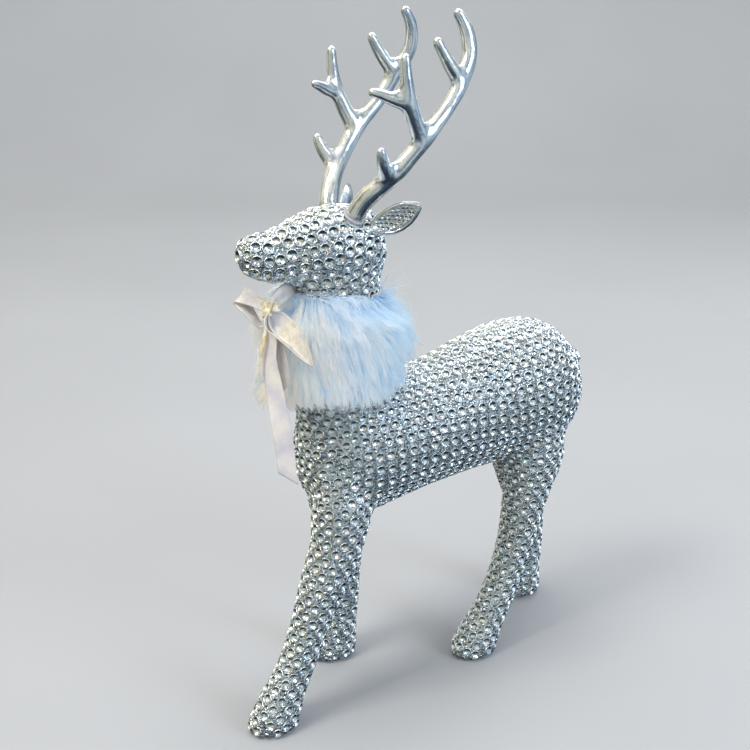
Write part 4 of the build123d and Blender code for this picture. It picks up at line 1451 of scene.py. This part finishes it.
# the ends of the neck band come out of the fur on both sides and run into the knot
ribbon("satin_strap_up", [(0.6, 1.2, 1.2, -0.8, 1.6, 0.8), (3.4, 4.6, -0.4, -1.8, 2.4, 1.6), (7.0, 8.6, -3.4, -2.2, 2.6, 2.2), (10.5, 11.6, -8.0, -2.0, 2.6, 2.6), (13.0, 12.6, -13.0, -1.6, 2.6, 2.8)],
       "neck_ribbon_band", n=40, m=9, fold=0.00025, painted_gold_glint=[0.6, 0.2, 0.1, 0.0], shade=[0.0, 0.2, 0.6, 0.9])
ribbon("satin_strap_back", [(-0.4, 0.6, 0.8, -0.5, 1.8, -0.8), (-1.6, 0.9, -3.0, 0.3, 2.8, -0.6), (-1.2, 0.8, -8.0, 0.6, 3.2, 0.2), (1.0, 0.4, -14.0, 0.6, 3.2, 0.4)],
       "neck_ribbon_band", n=40, m=9, fold=0.0002, painted_gold_glint=[0.5, 0.1, 0.0], shade=[0.0, 0.3, 0.6])
# the band round the neck that the bow is tied in
bv, bt = mesh_np(N["neck_ribbon_band"].data)
bv, bf = remesh(bv, bt, 0.0008, 3)
bv, bf = largest(bv, bf)
bn_ = normals_q(bv, bf)
bv = bv + bn_ * (0.00022 * gnoise(bv, 420, 61))[:, None]
# painted glint: soft random patches of painted gold sheen over the band
o = build("satin_neck_band", bv, [bf], [M_SATIN], attrs={"painted_gold_glint": np.clip(0.25 + 0.2 * gnoise(bv, 200, 62), 0, 0.5)})
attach(o, ROOT)
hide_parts("neck_ribbon_band")

# ------------------------------------------------------------------ stage, light, camera
def surround(nt, dz, dr, dvec):
    """what polished faces see: a bright upper half, a soft horizon and a dark blue ground, with soft patches.
    dz: height of the looking direction, dr: its part to the right of the figure"""
    r = ramp(nt, dz, [(0.0, (0.012, 0.022, 0.050)), (0.14, (0.040, 0.058, 0.095)), (0.27, (0.30, 0.36, 0.38)), (0.40, (0.66, 0.72, 0.73)),
                      (0.52, (0.46, 0.50, 0.51)), (0.60, (0.50, 0.54, 0.54)), (0.68, (0.58, 0.61, 0.60)), (0.82, (0.86, 0.88, 0.85)), (1.0, (0.92, 0.92, 0.86))])
    n = nt.nodes.new("ShaderNodeTexNoise")
    n.inputs["Scale"].default_value = 2.3
    n.inputs["Detail"].default_value = 1.0
    nt.links.new(dvec, n.inputs["Vector"])
    p = ramp(nt, n.outputs["Fac"], [(0.40, (0.30, 0.34, 0.40)), (0.50, (0.92, 0.94, 0.96)), (0.62, (1.36, 1.35, 1.30))])
    t = ramp(nt, dr, [(0.0, (1.14, 1.03, 0.82)), (0.42, (1.0, 1.0, 0.98)), (0.72, (0.92, 0.98, 1.02)), (1.0, (0.76, 0.90, 1.10))])
    out = r.outputs["Color"]
    for c in (p, t):
        mx = nt.nodes.new("ShaderNodeMix")
        mx.data_type = "RGBA"
        mx.blend_type = "MULTIPLY"
        mx.inputs["Factor"].default_value = 1.0
        nt.links.new(out, mx.inputs["A"])
        nt.links.new(c.outputs["Color"], mx.inputs["B"])
        out = mx.outputs["Result"]
    return out


def half(nt, sock):
    m = nt.nodes.new("ShaderNodeMath")
    m.operation = "MULTIPLY_ADD"
    m.inputs[1].default_value = 0.5
    m.inputs[2].default_value = 0.5
    nt.links.new(sock, m.inputs[0])
    return m.outputs[0]


def dot_with(nt, vec, v):
    m = nt.nodes.new("ShaderNodeVectorMath")
    m.operation = "DOT_PRODUCT"
    m.inputs[1].default_value = v
    nt.links.new(vec, m.inputs[0])
    return m.outputs["Value"]


# pale sweep: floor, then a wide curve up behind
fm = bpy.data.materials.new("floor_pale")
fm.use_nodes = True
nt = fm.node_tree
fb = next(n for n in nt.nodes if n.type == "BSDF_PRINCIPLED")
fo = next(n for n in nt.nodes if n.type == "OUTPUT_MATERIAL")
fnz = noise_node(nt, 3.0, 2.0)
fr = ramp(nt, fnz.outputs["Fac"], [(0.3, (0.45, 0.455, 0.46)), (0.7, (0.475, 0.48, 0.485))])
nt.links.new(fr.outputs["Color"], fb.inputs["Base Color"])
fb.inputs["Roughness"].default_value = 0.7
geo = nt.nodes.new("ShaderNodeNewGeometry")
neg = nt.nodes.new("ShaderNodeVectorMath")
neg.operation = "SCALE"
neg.inputs["Scale"].default_value = -1.0
nt.links.new(geo.outputs["Incoming"], neg.inputs[0])
env = surround(nt, half(nt, dot_with(nt, neg.outputs["Vector"], (0, 0, 1))), half(nt, dot_with(nt, neg.outputs["Vector"], tuple(VR))), neg.outputs["Vector"])
em = nt.nodes.new("ShaderNodeEmission")
nt.links.new(env, em.inputs["Color"])
lp = nt.nodes.new("ShaderNodeLightPath")
ms = nt.nodes.new("ShaderNodeMixShader")
nt.links.new(lp.outputs["Is Glossy Ray"], ms.inputs["Fac"])
nt.links.new(fb.outputs["BSDF"], ms.inputs[1])
nt.links.new(em.outputs["Emission"], ms.inputs[2])
nt.links.new(ms.outputs["Shader"], fo.inputs["Surface"])
hx, hy = -VB[0] / math.hypot(VB[0], VB[1]), -VB[1] / math.hypot(VB[0], VB[1])
prof = [(-5.0, -0.0004)] + [(1.4, -0.0004)] + [(1.4 + 0.9 * math.sin(a), -0.0004 + 0.9 * (1 - math.cos(a))) for a in np.linspace(0.06, math.pi / 2, 22)] + [(2.3, 4.5)]
fv_, ff_ = [], []
for t, z in prof:
    for sd in (-6, 6):
        fv_.append((hx * t + VR[0] * sd, hy * t + VR[1] * sd, z))
for i in range(len(prof) - 1):
    ff_.append((2 * i, 2 * i + 1, 2 * i + 3, 2 * i + 2))
fme = bpy.data.meshes.new("floor")
fme.from_pydata(fv_, [], ff_)
fme.materials.append(fm)
for p_ in fme.polygons:
    p_.use_smooth = True
flo = bpy.data.objects.new("floor", fme)
COL.objects.link(flo)


def area(name, loc, target, size, power, color, size_y=None):
    l = bpy.data.lights.new(name, "AREA")
    l.shape = "RECTANGLE"
    l.size = size
    l.size_y = size_y or size
    l.energy = power
    l.color = color
    o = bpy.data.objects.new(name, l)
    COL.objects.link(o)
    o.location = loc
    o.rotation_euler = (Vector(target) - Vector(loc)).to_track_quat("-Z", "Y").to_euler()
    return o


C0 = (LO0 + HI0) / 2
Z1 = np.array([0, 0, 1.0])
area("key", C0 + VR * -0.75 + Z1 * 1.05 + VB * 0.55, C0, 0.45, 11, (1.0, 0.955, 0.88))
area("fill", C0 + VR * 1.1 + Z1 * 0.35 + VB * 0.7, C0, 0.5, 7, (0.66, 0.80, 1.0), 0.8)
area("rim", C0 + VR * 0.5 + Z1 * 1.0 - VB * 0.8, C0, 0.5, 2.2, (0.95, 0.97, 1.0))
area("sweep", C0 + Z1 * 2.4 - VB * 0.6, C0 - VB * 1.8, 1.6, 26, (1.0, 1.0, 1.0))
w = bpy.data.worlds.new("studio")
bpy.context.scene.world = w
w.use_nodes = True
wt = w.node_tree
wt.nodes.clear()
out = wt.nodes.new("ShaderNodeOutputWorld")
lp = wt.nodes.new("ShaderNodeLightPath")
tc = wt.nodes.new("ShaderNodeTexCoord")
env = surround(wt, half(wt, dot_with(wt, tc.outputs["Generated"], (0, 0, 1))), half(wt, dot_with(wt, tc.outputs["Generated"], tuple(VR))), tc.outputs["Generated"])
bg1 = wt.nodes.new("ShaderNodeBackground")
wt.links.new(env, bg1.inputs["Color"])
bg1.inputs["Strength"].default_value = 1.0
bg2 = wt.nodes.new("ShaderNodeBackground")
bg2.inputs["Color"].default_value = (0.80, 0.83, 0.87, 1)
bg2.inputs["Strength"].default_value = 0.75
mxs = wt.nodes.new("ShaderNodeMixShader")
wt.links.new(lp.outputs["Is Glossy Ray"], mxs.inputs["Fac"])
wt.links.new(bg2.outputs["Background"], mxs.inputs[1])
wt.links.new(bg1.outputs["Background"], mxs.inputs[2])
wt.links.new(mxs.outputs["Shader"], out.inputs["Surface"])

cam = bpy.data.cameras.new("cam")
co = bpy.data.objects.new("cam", cam)
COL.objects.link(co)
D_CAM = 0.650
SCALE = 1825.0                         # frame units per metre at the target
T = P(-14, 0, 170)
co.location = T + VB * D_CAM
Rm = Matrix(((VR[0], VU[0], VB[0]), (VR[1], VU[1], VB[1]), (VR[2], VU[2], VB[2])))
co.rotation_euler = Rm.to_euler()
cam.sensor_width = 36
cam.lens = SCALE * D_CAM / 750 * 36
cam.clip_start = 0.05
bpy.context.scene.camera = co
bpy.context.scene.view_settings.view_transform = "Standard"
bpy.context.scene.view_settings.look = "None"
